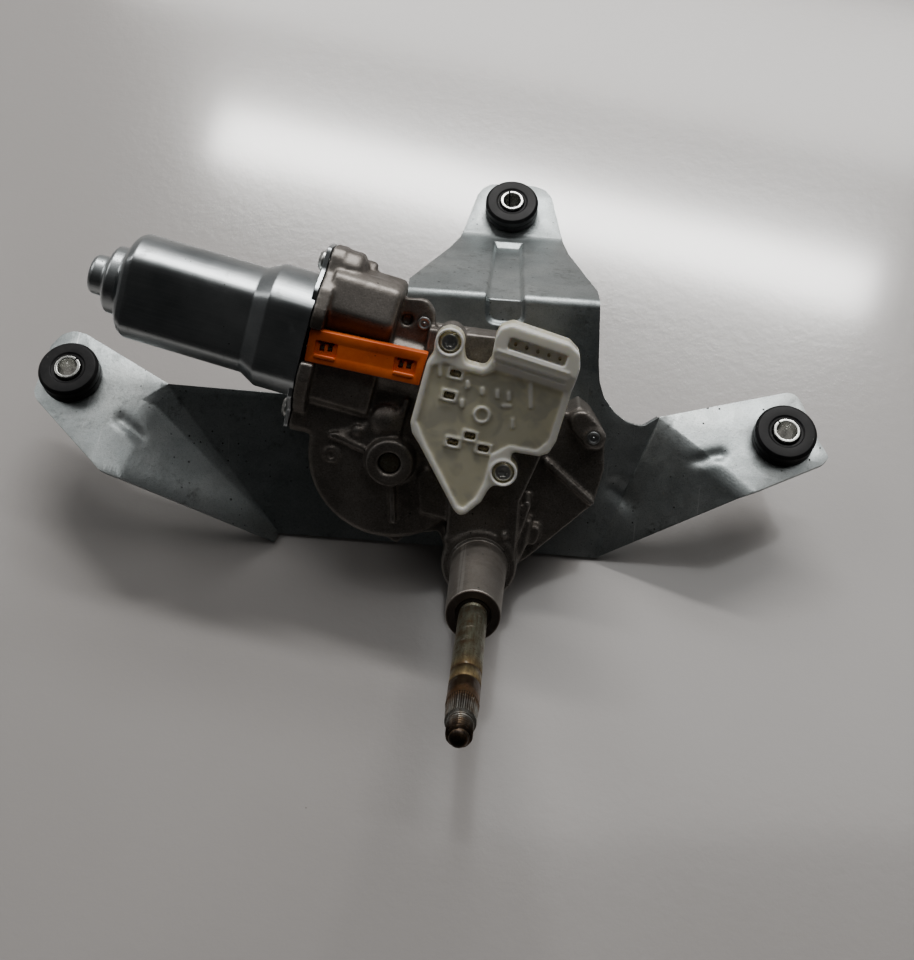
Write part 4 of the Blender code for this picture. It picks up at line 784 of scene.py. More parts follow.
# ------------ mounting bracket
def bracket_surface():
    """The sheet's front surface: points by name, its flat faces, the bead's points."""
    c, s = math.cos(TILT), math.sin(TILT)
    ridge = to_level(0, RIDGE_V, 0)
    down = (REAR_BEND_Y - ridge[1], REAR_EAR_Z - ridge[2])
    bend_v = (EAR_Z - PLATE_LIFT) / s   # where the side ears leave the plate
    spots = {}

    def plate(u, v):
        return world(u, v, 0.0)

    def ear(x, y):
        return level(x, y, EAR_Z)

    def rear(x, y):
        return level(x, y, REAR_EAR_Z)

    def flap(x, f):
        return level(x, ridge[1] + down[0] * f, ridge[2] + down[1] * f)

    def run(key, place, points, radius):
        """A stretch of the outline with its corners rounded."""
        inner = fillet(points, radius, 5)[1:-1]
        keys = ["%s%d" % (key, i) for i in range(len(inner))]
        spots.update(zip(keys, (place(*p) for p in inner)))
        return keys

    q1, p1 = to_level(-129.0, bend_v, 0.0)[:2], to_level(65.7, bend_v, 0.0)[:2]
    spots.update(V2=plate(-84.0, FOOT_V), R2=plate(47.0, FOOT_V), P1=plate(65.7, bend_v))
    mr = run("mr", plate, [(65.7, bend_v), (59.0, 50.6), (53.5, 52.0), (48.5, 55.5),
                           (44.0, 61.0), (41.6, 67.5), (40.6, 75.0), (38.9, RIDGE_V)], 9.0)
    spots.update(RR=plate(38.9, RIDGE_V), RL=plate(-35.6, RIDGE_V))
    ml = run("ml", plate, [(-35.6, RIDGE_V), (-36.0, 70.0), (-37.5, 62.5), (-42.0, 56.0),
                           (-49.0, 52.6), (-129.0, bend_v)], 9.0)
    spots.update(Q1=plate(-129.0, bend_v), V1=ear(-136.0, 33.0))
    le = run("le", ear, [q1, (-167.8, 60.9), (-172.9, 62.0), (-177.5, 60.0), (-181.0, 54.5),
                         (-183.2, 33.0), (-181.8, 29.8), (-150.0, 0.9), (-145.0, -1.0)], 5.0)
    spots.update(V3=ear(-145.0, -1.0), W3=ear(101.0, 11.2))
    re = run("re", ear, [(101.0, 11.2), (130.2, 26.6), (133.0, 29.8), (129.4, 36.0),
                         (123.2, 52.5), (121.0, 56.5), (117.5, 57.6), p1], 5.0)
    spots.update(fl=flap(-36.3, 0.15), fl2=flap(-24.2, 0.74), B2L=rear(-20.5, REAR_BEND_Y),
                 B2R=rear(25.6, REAR_BEND_Y), fr2=flap(28.0, 0.76), fr=flap(38.4, 0.15))
    te = run("te", rear, [(25.6, REAR_BEND_Y), (19.4, 169.5), (16.2, 173.8), (11.0, 175.6),
                          (-9.5, 175.0), (-13.0, 172.4), (-15.0, 168.5),
                          (-20.5, REAR_BEND_Y)], 6.0)

    rims = {"TL": flap(-5.4, 0.93), "TR": flap(7.6, 0.93),
            "CL": plate(-5.4, RIDGE_V), "CR": plate(9.8, RIDGE_V)}
    deep, lean = BEAD_DEPTH, BEAD_LEAN
    plate_back = Vector((0.0, s, -c)) * deep * MM
    inward = Vector((0.0, down[1], -down[0])).normalized() * deep * MM
    drop = Vector((0.0, 0.0, -deep * MM / c))
    floors = {"tl": flap(-5.4 + lean, 0.90) + inward, "tr": flap(7.6 - lean, 0.90) + inward,
              "cl": plate(-5.4 + lean, RIDGE_V) + drop,
              "cr": plate(9.8 - lean, RIDGE_V) + drop}
    end = fillet([(-5.2, RIDGE_V), (-5.0, RIDGE_V - 12.0), (11.0, RIDGE_V - 12.0),
                  (10.0, RIDGE_V)], 5.0, 4)[1:-1]
    mid = (3.0, RIDGE_V - 6.0)
    shrink = 1.0 - lean / 8.0
    for i, (u, v) in enumerate(end):
        rims["D%d" % i] = plate(u, v)
        floors["d%d" % i] = plate(mid[0] + (u - mid[0]) * shrink,
                                  mid[1] + (v - mid[1]) * shrink) + plate_back
    last = len(end) - 1
    outer, inner = (["%s%d" % (letter, i) for i in range(last + 1)] for letter in "Dd")
    spots.update(rims)
    spots.update(floors)
    loops = [
        ["V2", "R2", "P1", *mr, "RR", "CR", *reversed(outer), "CL", "RL", *ml, "Q1"],
        ["Q1", "V1", "V2"], ["V1", "V3", "V2"], ["Q1", *le, "V3", "V1"],
        ["P1", "R2", "W3"], ["P1", "W3", *re], ["RL", "CL", "TL", "B2L", "fl2", "fl"],
        ["RR", "fr", "fr2", "B2R", "TR", "CR"], ["TL", "TR", "B2R", "B2L"],
        ["B2L", "B2R", *te], ["CL", "cl", "tl", "TL"], ["TL", "tl", "tr", "TR"],
        ["TR", "tr", "cr", "CR"], ["CL", "D0", "d0", "cl"],
        [outer[-1], "CR", "cr", inner[-1]], ["cl", "cr", "tr", "tl"], [*inner, "cr", "cl"]]
    loops += [[outer[i], outer[i + 1], inner[i + 1], inner[i]] for i in range(last)]
    return spots, loops, set(rims) | set(floors)


# dents and gussets pressed into the sheet: from, to, half width and height in
# mm, and the way that the height counts
PRESSINGS = [
    (level(-146.0, 23.4, EAR_Z), level(-137.0, 17.2, EAR_Z), 2.6, -1.6, Vector((0, 0, 1))),
    (level(79.0, 23.6, EAR_Z), level(90.5, 27.6, EAR_Z), 2.6, -1.6, Vector((0, 0, 1))),
    (world(51.5, 24.5, 0.0), world(58.5, 19.0, 0.0), 4.2, -1.7, SHAFT_DIR),
]
PRESS_REACH, PRESS_GRID = 0.012, 0.0008     # metres


def slice_mesh(bm, co, normal, **more):
    bmesh.ops.bisect_plane(bm, geom=bm.verts[:] + bm.edges[:] + bm.faces[:], dist=1e-7,
                           plane_co=co, plane_no=normal, **more)


def densify(bm, centres, reach, step):
    """Cut a fine square grid into the sheet round each centre."""
    for axis, normal in enumerate((Vector((1, 0, 0)), Vector((0, 1, 0)))):
        lines = set()
        for centre in centres:
            lines |= set(range(round((centre[axis] - reach) / step),
                               round((centre[axis] + reach) / step) + 1))
        for line in sorted(lines):
            slice_mesh(bm, normal * (line * step), normal)


def press(bm, start, end, half_width, height, way):
    line = end - start
    for vert in bm.verts:
        f = (vert.co - start).dot(line) / line.length_squared
        across = (vert.co - start - line * max(0.0, min(1.0, f))).length
        fade = math.exp(-(across / (half_width * MM)) ** 2)
        if fade > 0.01:
            vert.co += way * height * MM * fade


def bend_weight(ends, bead):
    """Share of BEND_OFFSET that rounds the edge between two named points."""
    if ends & {"V2", "R2"}:
        return 0.15
    if ends in ({"V1", "V3"}, {"P1", "W3"}):
        return 1.0
    if ends <= bead:
        return 0.22
    return 0.85 if ends & {"RL", "RR", "B2L", "B2R"} else 0.6


def build_bracket():
    spots, loops, bead = bracket_surface()
    names = list(spots)
    mesh = new_mesh("bracket_sheet", spots.values(),
                    [tuple(names.index(name) for name in loop) for loop in loops])
    with editing(mesh) as bm:
        bmesh.ops.recalc_face_normals(bm, faces=bm.faces)
        if max(bm.faces, key=lambda f: f.calc_area()).normal.z < 0:
            bmesh.ops.reverse_faces(bm, faces=bm.faces)
        weight = bm.edges.layers.float.new("bevel_weight_edge")
        for edge in bm.edges:
            if len(edge.link_faces) == 2 and edge.calc_face_angle() > 0.03:
                edge[weight] = bend_weight({names[v.index] for v in edge.verts}, bead)
    obj = new_object("bracket_sheet", mesh)
    modify(obj, "BEVEL", limit_method="WEIGHT", width=BEND_OFFSET * MM, segments=6)
    with editing(obj.data) as bm:
        # trim what the bevel pushed past the lower edge
        slice_mesh(bm, world(0, FOOT_V, 0), (0, 0, -1), clear_outer=True)
        densify(bm, [(start + end) / 2 for start, end, *_ in PRESSINGS],
                PRESS_REACH, PRESS_GRID)
        for pressing in PRESSINGS:
            press(bm, *pressing)
    modify(obj, "SOLIDIFY", thickness=SHEET_T * MM, offset=-1.0)
    carve(obj, *(turned("tool", (x, y), [(z - 6, EAR_HOLE_R), (z + 4, EAR_HOLE_R)], 72,
                        point=level) for x, y, z in GROMMET_AT.values()),
          *(turned("tool", p, [(-8, SCREW_HOLE_R), (4, SCREW_HOLE_R)], 40)
            for p in BRACKET_SCREWS))
    bevelled(obj, 0.28, 2, 55.0, 32.0)
    finish(obj, "zinc", "mounting_bracket")


# ------------ grommets and sleeves
def build_grommets():
    r, neck, bore = GROMMET_R, GROMMET_NECK_R, SLEEVE_OUT
    for side, (x, y, z) in GROMMET_AT.items():
        up, dn = z + GROMMET_UP, z + GROMMET_DOWN
        top, bot = z + 0.3, z - SHEET_T - 0.3
        obj = hoop("rubber_" + side, (x, y), [
            (up - 0.5, bore + 0.3), (up - 0.5, bore + 1.3), (up, bore + 1.9), (up, r - 1.1),
            (up - 1.1, r), (up - 3.5, r), (up - 3.75, r - 0.22), (up - 4.0, r), (top, r),
            (top, neck), (bot, neck), (bot, r), (dn + 1.1, r), (dn, r - 1.1),
            (dn, bore + 0.3)], 0.5, 3, 96, point=level, angle=60)
        finish(obj, "rubber", "grommet_" + side)
        build_sleeve(side, x, y, dn, up + SLEEVE_PROUD)


def build_sleeve(side, x, y, z0, z1):
    """Rolled strip: its cross-section swept round, open at the slit."""
    n = 72
    half = math.asin(SLEEVE_SLIT / 2 / SLEEVE_IN)
    section = rounded([(z0, SLEEVE_IN), (z1, SLEEVE_IN), (z1, SLEEVE_OUT),
                       (z0, SLEEVE_OUT)], 0.35)
    turn = SLIT_TURN[side]
    rings = []
    for a in (turn + half + (TURN - 2 * half) * k / n for k in range(n + 1)):
        flat = 1.0 - 0.007 * (1 + math.cos(8 * (a - turn)))     # rolled in flats
        rings.append([level(x + r * flat * math.cos(a), y + r * flat * math.sin(a), z)
                      for z, r in section])
    finish(loft("rolled_sleeve_" + side, rings), "sleeve_steel", "sleeve_" + side)


# ------------ motor can
def progress(value, low, high):
    """How far a value is from low to high, from 0 to 1."""
    return min(1.0, max(0.0, (value - low) / (high - low)))


def can_ring(t, r, n=144):
    """Cross-section of the can, pressed flat on its two sides."""
    limit = YOKE_FLAT + (COLLAR_FLAT - YOKE_FLAT) * progress(r, YOKE_R, COLLAR_R)
    if r < YOKE_R:
        limit = STEP_FLAT + (YOKE_FLAT - STEP_FLAT) * progress(r, STEP_R, YOKE_R)
    start = limit - FLAT_SOFT
    pts = []
    for a in (TURN * (k + 0.5) / n for k in range(n)):
        side, up = r * math.cos(a), r * math.sin(a)
        if r >= STEP_R and abs(up) > start:
            soft = start + FLAT_SOFT * (1 - math.exp((start - abs(up)) / FLAT_SOFT))
            up = math.copysign(min(abs(up), soft), up)
        pts.append((side, up))
    return pts


def build_can():
    outside = [
        (84.6, 5.4), (84.6, 6.5), (83.4, 7.4), (78.2, 7.6), (77.6, 11.4), (76.4, 12.7),
        (71.4, 12.9), (70.9, 16.6), (69.6, YOKE_R - 1.4), (67.4, YOKE_R),
        (22.0, YOKE_R + 0.3), (16.0, COLLAR_R), (1.8, COLLAR_R), (0.2, COLLAR_R)]
    inside = [
        (0.2, COLLAR_R - 1.6), (16.0, COLLAR_R - 1.6), (19.8, YOKE_R - 1.3),
        (67.0, YOKE_R - 1.5), (69.2, 13.0), (69.5, 6.6), (76.0, 6.6), (76.2, 4.4),
        (82.8, 4.4)]
    profile = fillet(outside, 2.4, 6) + fillet(inside, 0.8, 2)
    can = axis_loft("drawn_can", [(t, can_ring(t, r)) for t, r in profile],
                    closed=True, angle=50)
    finish(can, "zinc_can", "motor_yoke")

    # rim of the can with its two screw ears
    outline = rounded([(-20.4, -16.4), (20.4, -16.4), (27.2, -8.2), (35.2, -6.4),
                       (35.2, 6.4), (27.2, 8.6), (20.4, 16.4), (-20.4, 16.4),
                       (-27.2, 8.6), (-35.2, 6.4), (-35.2, -6.4), (-27.2, -8.2)], 2.8, 6)
    rim = axis_loft("can_rim", [(t, inset(outline, d)) for t, d in
                                ((0.05, 0.15), (0.2, 0.0), (1.45, 0.0), (1.7, 0.25))])
    carve(rim, *(axis_loft("tool", [(t, circle(side, 0.0, r, 48)) for t in (-1.0, 4.0)])
                 for side, r in ((-SCREW_OFFSET, 2.5), (SCREW_OFFSET, 2.5),
                                 (0.0, COLLAR_FLAT - 1.6))))
    shade(rim)
    finish(rim, "zinc_can", "motor_yoke")


# ------------ gear housing
def build_casting():
    extras = [
        # rim of the round case
        hoop("add", GEAR_AT, [(2.4, 32.6), (29.2, 31.9), (30.9, 30.3), (30.9, 22.0),
                              (29.4, 22.0), (29.4, 30.2), (2.4, 30.6)], 0.6, 3, 144),
        # foot of the output boss
        hoop("add", (0, 0), [(8.0, 14.8), (33.0, 14.6), (LEDGE_W - 0.3, 14.2),
                             (LEDGE_W, 13.4), (LEDGE_W, 9.8), (60.0, 9.2),
                             (60.0, BOSS_BORE_R), (8.0, BOSS_BORE_R)], 0.3, 3, 120),
        # bored boss over the gear wheel
        hoop("add", GEAR_AT, [(28.0, 11.2), (31.5, 9.6), (37.2, 8.9), (37.2, 5.2),
                              (36.3, 4.6), (28.0, 4.6)], 0.5, 3, 96),
        # small ring mark on the round case
        turned("add", (-58.6, 38.8), [(30.2, 3.1), (31.9, 3.0), (31.9, 1.9), (30.2, 1.8)],
               40, ring=True),
        # dome over the worm and the web that runs down from it
        turned("add", (-38.4, 53.6), fillet([(27.0, 7.6), (30.5, 7.2), (33.4, 5.4),
                                             (34.9, 2.9), (35.3, 0.8)], 2.0, 6), 64),
        prism("add", [(-44.0, 40.6), (-36.0, 46.0), (-40.0, 57.0), (-48.6, 50.2),
                      (-57.4, 48.0), (-57.6, 46.6)], 28.0, 32.4, 1.6),
        prism("add", slot_outline((-44.6, 41.4), (-57.0, 47.2), 0.8), 29.0, 33.4, 0.5),
        turned("add", (-49.0, 49.0), fillet([(28.0, 2.6), (32.6, 2.2), (33.6, 0.8)],
                                            0.8, 3), 32),
        # low pad between the case and the boss
        prism("add", rounded([(-25.6, 34.0), (-21.2, 37.4), (-9.5, 21.2), (-12.0, 16.0),
                              (-24.2, 18.6)], 2.0, 4), 27.0, 32.8, 1.0),
        # nubs where ejector pins met the boss's foot
        turned("add", (-12.4, 9.6), fillet([(18.0, 2.2), (34.6, 1.9), (35.6, 1.0)],
                                           0.8, 3), 32),
        turned("add", (8.6, 13.4), fillet([(18.0, 1.9), (35.6, 1.7), (36.8, 0.8)],
                                          0.6, 3), 32),
        prism("add", slot_outline((9.0, 14.0), (9.4, 30.0), 1.0), 20.0, 35.4, 0.5),
        # tall fin between the boss and the linkage lobe
        prism("add", [(14.6, 18.4), (19.0, 17.0), (17.6, 6.0), (14.6, -2.0),
                      (13.4, -1.6)], 16.0, 27.6, 1.0),
        # collar round the lug's staked pin
        hoop("add", LUG_RIVET, [(23.0, 3.6), (25.2, 3.5), (25.2, 2.3), (23.0, 2.3)],
             0.3, 2, 40),
        # dark cylindrical lug behind the upper ear
        axis_loft("add", [(t, circle(28.4, -8.5, r, 40)) for t, r in
                          ((-8.0, 4.0), (-15.8, 4.0), (-16.6, 3.2))]),
        # worm tube's block and the screw ear beside it
        axis_bar([(4.0, -15.0), (26.0, -15.0), (29.4, -8.0), (29.4, 8.0), (27.6, 13.2),
                  (15.6, 16.4), (8.0, 13.0), (4.0, 12.6)], -4.0, -29.6, 2.8),
        axis_bar([(15.0, -7.4), (31.5, -7.4), (35.1, -4.0), (35.1, 5.0), (31.5, 8.6),
                  (15.0, 9.4)], -0.8, -13.4, 3.6),
        # closes the tab's hole from below
        turned("add", TAB_HOLE, [(24.0, 3.4), (27.2, 3.4)], 32),
    ]
    # posts under the cover's screws
    extras += [turned("add", p, [(28.2, 5.3), (36.9, 4.9), (36.9, 2.1), (28.2, 2.1)],
                      64, ring=True) for p in COVER_SCREWS]
    corner = rounded([(-25.6, 99.6), (-22.4, 95.4), (-21.0, 80.0), (-10.0, 80.0),
                      (-10.0, 110.0), (-42.0, 110.0), (-42.0, 99.0)], 3.0, 5)
    block_top = [(5.4, 12.9), (30.5, 12.9), (30.5, 22.0), (5.4, 22.0)]
    body = carve(cad_copy("gear_housing", "cast_housing"),
                 prism("tool", corner, 25.0, 31.0),
                 axis_loft("tool", [(-5.4, block_top), (-31.0, block_top)]))
    cast(body, extras, CASTING_VOXEL, 6)
    finish(body, "cast_aluminium", "gear_housing")

    end = hoop("boss_neck", (0, 0), [
        (34.0, 12.2), (LEDGE_W + 0.1, 11.9), (LEDGE_W + 0.4, 10.7), (BOSS_END_W - 0.5, 9.6),
        (BOSS_END_W, 9.1), (BOSS_END_W, 6.5), (BOSS_END_W - 0.7, 6.2), (34.0, 6.2)],
        0.35, 4, 144, angle=50)
    finish(end, "cast_aluminium", "gear_housing")


# ------------ output shaft
def build_shaft():
    r = SHAFT_R
    profile = [(2.4, 3.1), (2.8, 3.5), (9.6, 3.5), (9.7, 4.6), (10.2, r), (83.9, r),
               (84.3, r - 0.4), (85.5, r - 0.4), (85.9, r)]
    profile += [(w, r) for w in (95.0, 105.0, 115.0, 124.0)]
    for w in (130.6, 138.4):        # two fine grooves
        profile += [(w, r), (w + 0.25, r - 0.22), (w + 0.6, r - 0.22), (w + 0.85, r)]
    profile += [(KNURL0 - 0.9, r), (KNURL0 - 0.3, r - 0.06)]
    steps = 18
    for f in (k / steps for k in range(steps + 1)):

        def knurl(a, base=r + 0.08 - 0.36 * f, depth=0.5 * min(1.0, f * 6, (1 - f) * 6 + 0.3)):
            return base - depth * (0.5 + 0.5 * math.cos(KNURL_TEETH * a)) ** 0.7

        profile.append((KNURL0 + (KNURL1 - KNURL0) * f, knurl))
    profile += [(KNURL1 + 0.3, THREAD_R - 0.1), (KNURL1 + 0.6, THREAD_R - 0.5)]
    step = THREAD_PITCH / 8
    for i in range(int((THREAD1 - THREAD0) / step) + 1):
        w = THREAD0 + i * step
        depth = THREAD_DEPTH * min(1.0, (w - THREAD0) / 1.5, (THREAD1 - w) / 1.2 + 0.05)
        lead_in = max(0.0, w - (SHAFT_TIP_W - 3.0)) * 0.55

        def thread(a, w=w, depth=depth, lead_in=lead_in):
            ridge = abs(2 * ((w / THREAD_PITCH - a / TURN) % 1.0) - 1)
            return THREAD_R - depth * min(1.0, ridge * 1.25) - lead_in

        profile.append((w, thread))
    profile += [(SHAFT_TIP_W - 0.3, THREAD_R - 1.7), (SHAFT_TIP_W, THREAD_R - 2.6)]
    shaft = turned("steel_output_shaft", (0, 0), profile, 144, angle=50)
    finish(shaft, "shaft_steel", "output_shaft", body="output")

    seal = hoop("lip_seal", (0, 0), [(80.9, r + 0.15), (80.9, 6.1), (83.3, 6.1),
                                     (82.9, 5.7), (83.0, r + 0.15)], 0.12, 3, 96)
    finish(seal, "black_seal", "shaft_seal")


# ------------ terminals, cover
STRIP_W0, STRIP_W1 = 36.6, 41.2
STRIP = [(-68.2, 76.0), (-26.2, 69.9), (-23.4, 81.9), (-66.2, 88.0)]
TERMINAL_AT = [(-60.4, 80.9), (-31.6, 76.8)]


def build_strip():
    turn = math.atan2(STRIP[1][1] - STRIP[0][1], STRIP[1][0] - STRIP[0][0])
    strip = prism("orange_holder", rounded(STRIP, 0.7), STRIP_W0, STRIP_W1, 0.35)
    tools = []
    for u, v in TERMINAL_AT:
        tools.append(prism("tool", rounded(slanted(u, v, 4.2, 2.7, turn), 0.7), 40.2, 50.0))
        for du, dv, half_len, half_wid in ((-1.5, 0.5, 0.9, 1.7), (1.5, 0.5, 0.9, 1.7),
                                           (0.1, 1.9, 3.0, 0.5)):
            tools.append(prism("tool", slanted(u + du, v + dv, half_len, half_wid, turn),
                               37.4, 50.0))
    carve(strip, *tools)
    bevelled(strip, 0.16, 2, 40.0)
    finish(strip, "orange_plastic", "terminal_holder")
    c, d = 3.2 * math.cos(turn), 3.2 * math.sin(turn)
    for i, (u, v) in enumerate(TERMINAL_AT):
        lip = prism("slot_lip_%d" % (i + 1), slot_outline(
            (u - c + d, v - d - c), (u + c + d, v + d - c), 0.75),
            STRIP_W1 - 0.6, STRIP_W1 + 0.55, 0.5)
        finish(lip, "orange_plastic")


# bumps moulded on the cover: from, to, half width
COVER_BUMPS = [
    ((-18.8, 80.0), (-18.5, 75.2), 0.75), ((-8.5, 73.3), (-8.4, 71.5), 0.8),
    ((-3.0, 71.1), (-2.9, 69.6), 0.9), ((2.4, 70.9), (2.6, 68.6), 0.8),
    ((6.5, 70.3), (6.7, 68.0), 0.8), ((14.1, 74.1), (14.7, 65.9), 0.8),
    ((-10.1, 66.3), (-10.0, 64.4), 0.8), ((8.6, 60.7), (8.8, 58.0), 0.7),
    ((4.8, 65.6), (7.3, 65.7), 0.7)]
WINDOWS = [(-13.0, 76.0), (-14.8, 67.8), (-6.4, 53.4), (-12.4, 50.6), (-1.2, 49.0)]
COVER = [(-28.4, 56.8), (-27.6, 53.0), (-24.6, 48.6), (-10.6, 24.6), (-8.4, 22.6),
         (-6.0, 23.4), (-0.6, 28.6), (1.4, 33.0), (3.0, 35.2), (7.6, 35.6), (11.2, 38.4),
         (11.2, 43.0), (9.0, 45.6), (9.4, 48.6), (19.0, 47.6), (22.6, 49.0), (24.9, 53.6),
         (31.0, 82.4), (30.4, 87.0), (26.6, 90.6), (6.2, 96.0), (2.0, 94.4), (0.4, 91.0),
         (-0.6, 82.4), (-2.6, 79.0), (-9.8, 80.4), (-10.6, 86.0), (-11.6, 90.6),
         (-15.4, 92.6), (-19.6, 91.0), (-21.2, 87.0), (-21.4, 83.0), (-23.6, 79.4)]
CONNECTOR = [(24.0, 70.0), (28.8, 72.0), (30.9, 82.0), (30.4, 87.0), (26.6, 90.4),
             (6.2, 95.8), (1.8, 94.2), (0.5, 91.0), (-0.3, 84.5), (2.0, 76.0)]
COVER_RECESS = [(-26.0, 57.4), (-22.6, 50.0), (-9.2, 26.4), (-7.0, 25.6), (-2.4, 30.6),
                (0.0, 36.6), (1.6, 47.0), (8.0, 51.0), (18.4, 50.0), (22.2, 54.0),
                (28.0, 81.0), (2.0, 79.0), (-3.0, 76.2), (-11.6, 77.8), (-17.0, 79.8),
                (-21.8, 78.4)]
POCKET = [(-18.0, 45.2), (-10.0, 28.6), (-4.6, 27.0), (0.4, 35.4), (1.6, 46.6)]


def on_block(a, b):
    """A place on the pin block, along and across it."""
    c, d = math.cos(BLOCK_TURN), math.sin(BLOCK_TURN)
    return (BLOCK_AT[0] + a * c - b * d, BLOCK_AT[1] + a * d + b * c)


def cover_shell():
    """The cover's plate, hollow below and recessed above, with the pin block."""
    body = prism("milky_cover", rounded(COVER, 2.4, 4), COVER_W0, COVER_W1, 0.9)
    # the pin block's front slopes down to the cover
    profile = rounded([(-11.5, 44.0), (-4.2, 49.2), (7.4, 49.4), (7.4, 38.0),
                       (-11.5, 38.0)], 1.4, 4)
    block = loft("add", [[world(*on_block(a, b), w) for b, w in profile]
                         for a in (-22.0, 22.0)])
    carve(block, prism("tool", rounded(CONNECTOR, 3.4, 5), 36.0, 60.0),
          operation="INTERSECT")
    carve(body, prism("tool", rounded(COVER_RECESS, 1.6), COVER_W1 - 0.9, 60.0),
          prism("tool", rounded(COVER_RECESS, 1.0, 2), 30.0, COVER_W1 - 2.8))
    join(body, [block])
    melt(body, COVER_VOXEL)
    return body


def window(u, v):
    return slanted(u, v, 2.0, 1.25, WINDOW_TURN)


def cover_details():
    """What stands on the cover: bumps, frames, collars and ridges."""
    extras = [prism("add", slot_outline(p, q, r), 43.4, 44.75, 0.3)
              for p, q, r in COVER_BUMPS]
    for u, v in WINDOWS:
        rim = prism("add", rounded(slanted(u, v, 3.1, 2.3, WINDOW_TURN), 0.6),
                    43.2, 44.65, 0.25)
        extras.append(carve(rim, prism("tool", window(u, v), 40.0, 50.0)))
    extras.append(hoop("add", (-2.6, 61.6), [(43.5, 3.3), (44.9, 3.2), (44.9, 2.2),
                                             (43.5, 2.1)], 0.3, 3, 48))
    extras += [hoop("add", p, [(38.0, 5.4), (45.6, 5.2), (45.6, 4.2), (41.7, 4.1),
                               (41.4, 2.3), (38.0, 2.3)], 0.4, 3, 64) for p in COVER_SCREWS]
    # inner frame of the pocket at the bottom
    pocket = ccw(rounded(POCKET, 1.2))
    extras.append(carve(prism("add", pocket, 43.4, 45.2, 0.25),
                        prism("tool", inset(pocket, 1.2), 40.0, 50.0)))
    # ridges where the block meets the cover, and the bar before the pins
    extras += [prism("add", slanted(*on_block(0.0, b), 13.2, 0.4, BLOCK_TURN), 43.2, top, 0.3)
               for b, top in ((-3.0, 49.7), (-5.4, 49.0), (-7.6, 47.6))]
    return extras


def build_cover():
    body = cover_shell()
    pins = rounded(slanted(*on_block(0.3, 0.7), 10.6, 2.1, BLOCK_TURN), 0.8)
    tools = [prism("tool", pins, PIN_FLOOR, 60.0)]
    tools += [prism("tool", window(u, v), 30.0, 60.0) for u, v in WINDOWS]
    for p in COVER_SCREWS:
        tools.append(turned("tool", p, [(41.6, 4.1), (60.0, 4.1)], 48))
        tools.append(turned("tool", p, [(30.0, 2.3), (44.0, 2.3)], 32))
    carve(body, *tools)
    cast(body, cover_details(), COVER_VOXEL, 5)
    finish(body, "milky_plastic", "connector_cover")
    for i, (u, v) in enumerate(WINDOWS):
        outline = rounded(slanted(u, v, 2.7, 1.7, WINDOW_TURN), 0.4, 2)
        finish(prism("window_lead_%d" % (i + 1), outline, 41.5, 42.1, 0.15), "brass")


# ------------ fasteners
def drive_screw(name, centre, seat, shank_end, place, recess=1.9):
    """Pan head with a six-lobed recess; w is the height along the axis."""
    def star(a):
        return recess - 0.42 * (0.5 - 0.5 * math.cos(6 * a))

    head = fillet([(seat, 1.6), (seat, 3.85), (seat + 1.0, 3.85), (seat + 2.2, 2.9),
                   (seat + 2.35, recess + 0.25)], 0.5, 4)
    profile = [(shank_end, 1.2), (shank_end + 1.0, 1.6), (seat, 1.6), *head,
               (seat + 2.3, star), (seat + 1.2, star), (seat + 0.9, 0.8)]
    return turned(name, centre, profile, 96, point=place, angle=40)


def build_fasteners():
    for i, p in enumerate(COVER_SCREWS):
        screw = drive_screw("pan_screw_%d" % (i + 1), p, 42.3, 28.2, world)
        finish(screw, "screw_steel", "cover_screw_%d" % (i + 1))
    for name, side in (("yoke_screw_lower", -SCREW_OFFSET),
                       ("yoke_screw_upper", SCREW_OFFSET)):

        def place(a, b, t, side=side):
            return axial(t, side + a, b)

        screw = drive_screw("flange_" + name, (0, 0), 2.0, -9.6, place, 1.7)
        finish(screw, "screw_steel", name)
    for i, p in enumerate(BRACKET_SCREWS):

        def back(a, b, w, p=p):
            return world(p[0] + a, p[1] - b, -w)

        screw = drive_screw("case_screw_%d" % (i + 1), (0, 0), 2.3, -9.6, back)
        finish(screw, "screw_steel", "bracket_screw_%d" % (i + 1))
    for part, p, base in (("tab", TAB_RIVET, 30.3), ("lug", LUG_RIVET, 24.8)):
        rivet = turned(part + "_stake", p, fillet([
            (base - 4.0, 1.5), (base - 0.1, 1.5), (base, 2.5), (base + 0.45, 2.45),
            (base + 0.7, 1.9), (base + 0.35, 1.3), (base + 0.4, 0.6), (base + 0.85, 0.3)],
            0.15, 2), 48)
        finish(rivet, "screw_steel", part + "_rivet")
        rivet.data.materials[0] = MATERIALS["cover_steel"]


def build_back_plate():
    plate = bevelled(cad_copy("gear_back_cover", "back_plate"), 0.35)
    finish(plate, "cover_steel", "gear_back_cover")


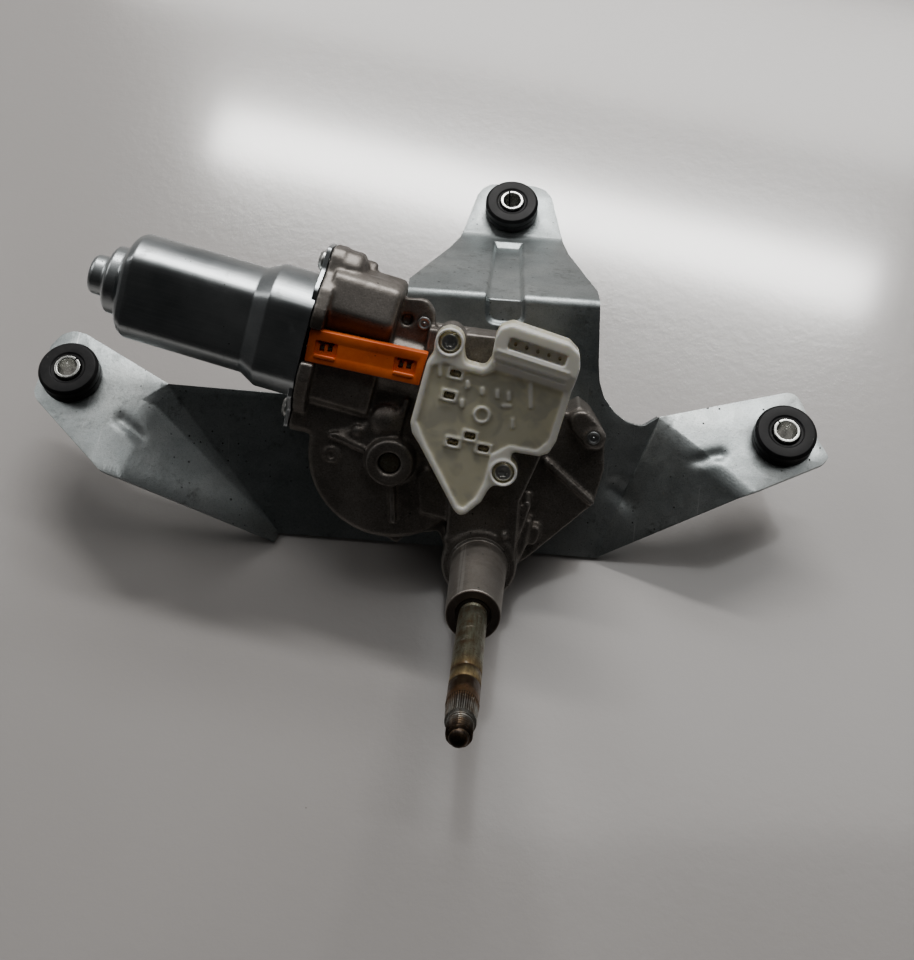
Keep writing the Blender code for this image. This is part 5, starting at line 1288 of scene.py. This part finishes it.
# ------------ CAD nodes
def paint_cad_nodes():
    slots = {row["node"]: row["material_slot"] for row in frame["record"]["subparts"]}
    for name, obj in frame["nodes"].items():
        material = MATERIALS[slots[name]]
        for slot in obj.material_slots:
            slot.material = material
        if not obj.material_slots:
            obj.data.materials.append(material)


# ------------ stage
def build_room():
    """A dim room, darker towards the camera's side."""
    sky = bpy.data.worlds.new("room")
    sky.use_nodes = True
    tree = sky.node_tree
    coord, split, shift, ramp = (tree.nodes.new("ShaderNode" + kind) for kind in
                                 ("TexCoord", "SeparateXYZ", "MapRange", "ValToRGB"))
    for stop, place, grey in zip(ramp.color_ramp.elements, (0.30, 1.0),
                                 (ROOM_FRONT, ROOM_BACK)):
        stop.position, stop.color = place, (grey, grey, grey, 1)
    shift.inputs["From Min"].default_value = -1.0
    for output, socket in ((coord.outputs["Generated"], split.inputs[0]),
                           (split.outputs["Y"], shift.inputs["Value"]),
                           (shift.outputs["Result"], ramp.inputs["Fac"]),
                           (ramp.outputs["Color"], tree.nodes["Background"].inputs["Color"])):
        tree.links.new(output, socket)
    bpy.context.scene.world = sky


def build_stage():
    corners = [(a * FLOOR_HALF, b * FLOOR_HALF, 0)
               for a, b in ((-1, -1), (1, -1), (1, 1), (-1, 1))]
    floor = add_mesh("table", corners, [(0, 1, 2, 3)])
    floor.data.materials.append(floor_material())
    for name, at, wide, high, turn, power in LAMPS:
        data = bpy.data.lights.new(name, "AREA")
        data.shape = "RECTANGLE"
        data.size, data.size_y = wide, high
        data.energy = power
        data.color = LAMP_COLOR
        lamp = new_object(name, data)
        lamp.location = at
        lamp.rotation_euler = (0, 0, turn)


def build_camera():
    data = bpy.data.cameras.new("camera")
    data.lens = CAMERA_LENS
    data.sensor_width = 36.0
    data.clip_start = 0.01
    camera = new_object("camera", data)
    turn = Matrix(CAMERA_AXES).transposed().to_4x4()
    camera.matrix_world = Matrix.Translation(level(*CAMERA_AT)) @ turn
    bpy.context.scene.camera = camera


# ------------ main
build_camera()
build_room()
build_stage()
paint_cad_nodes()
build_bracket()
build_grommets()
build_can()
build_casting()
build_shaft()
build_strip()
build_cover()
build_fasteners()
build_back_plate()
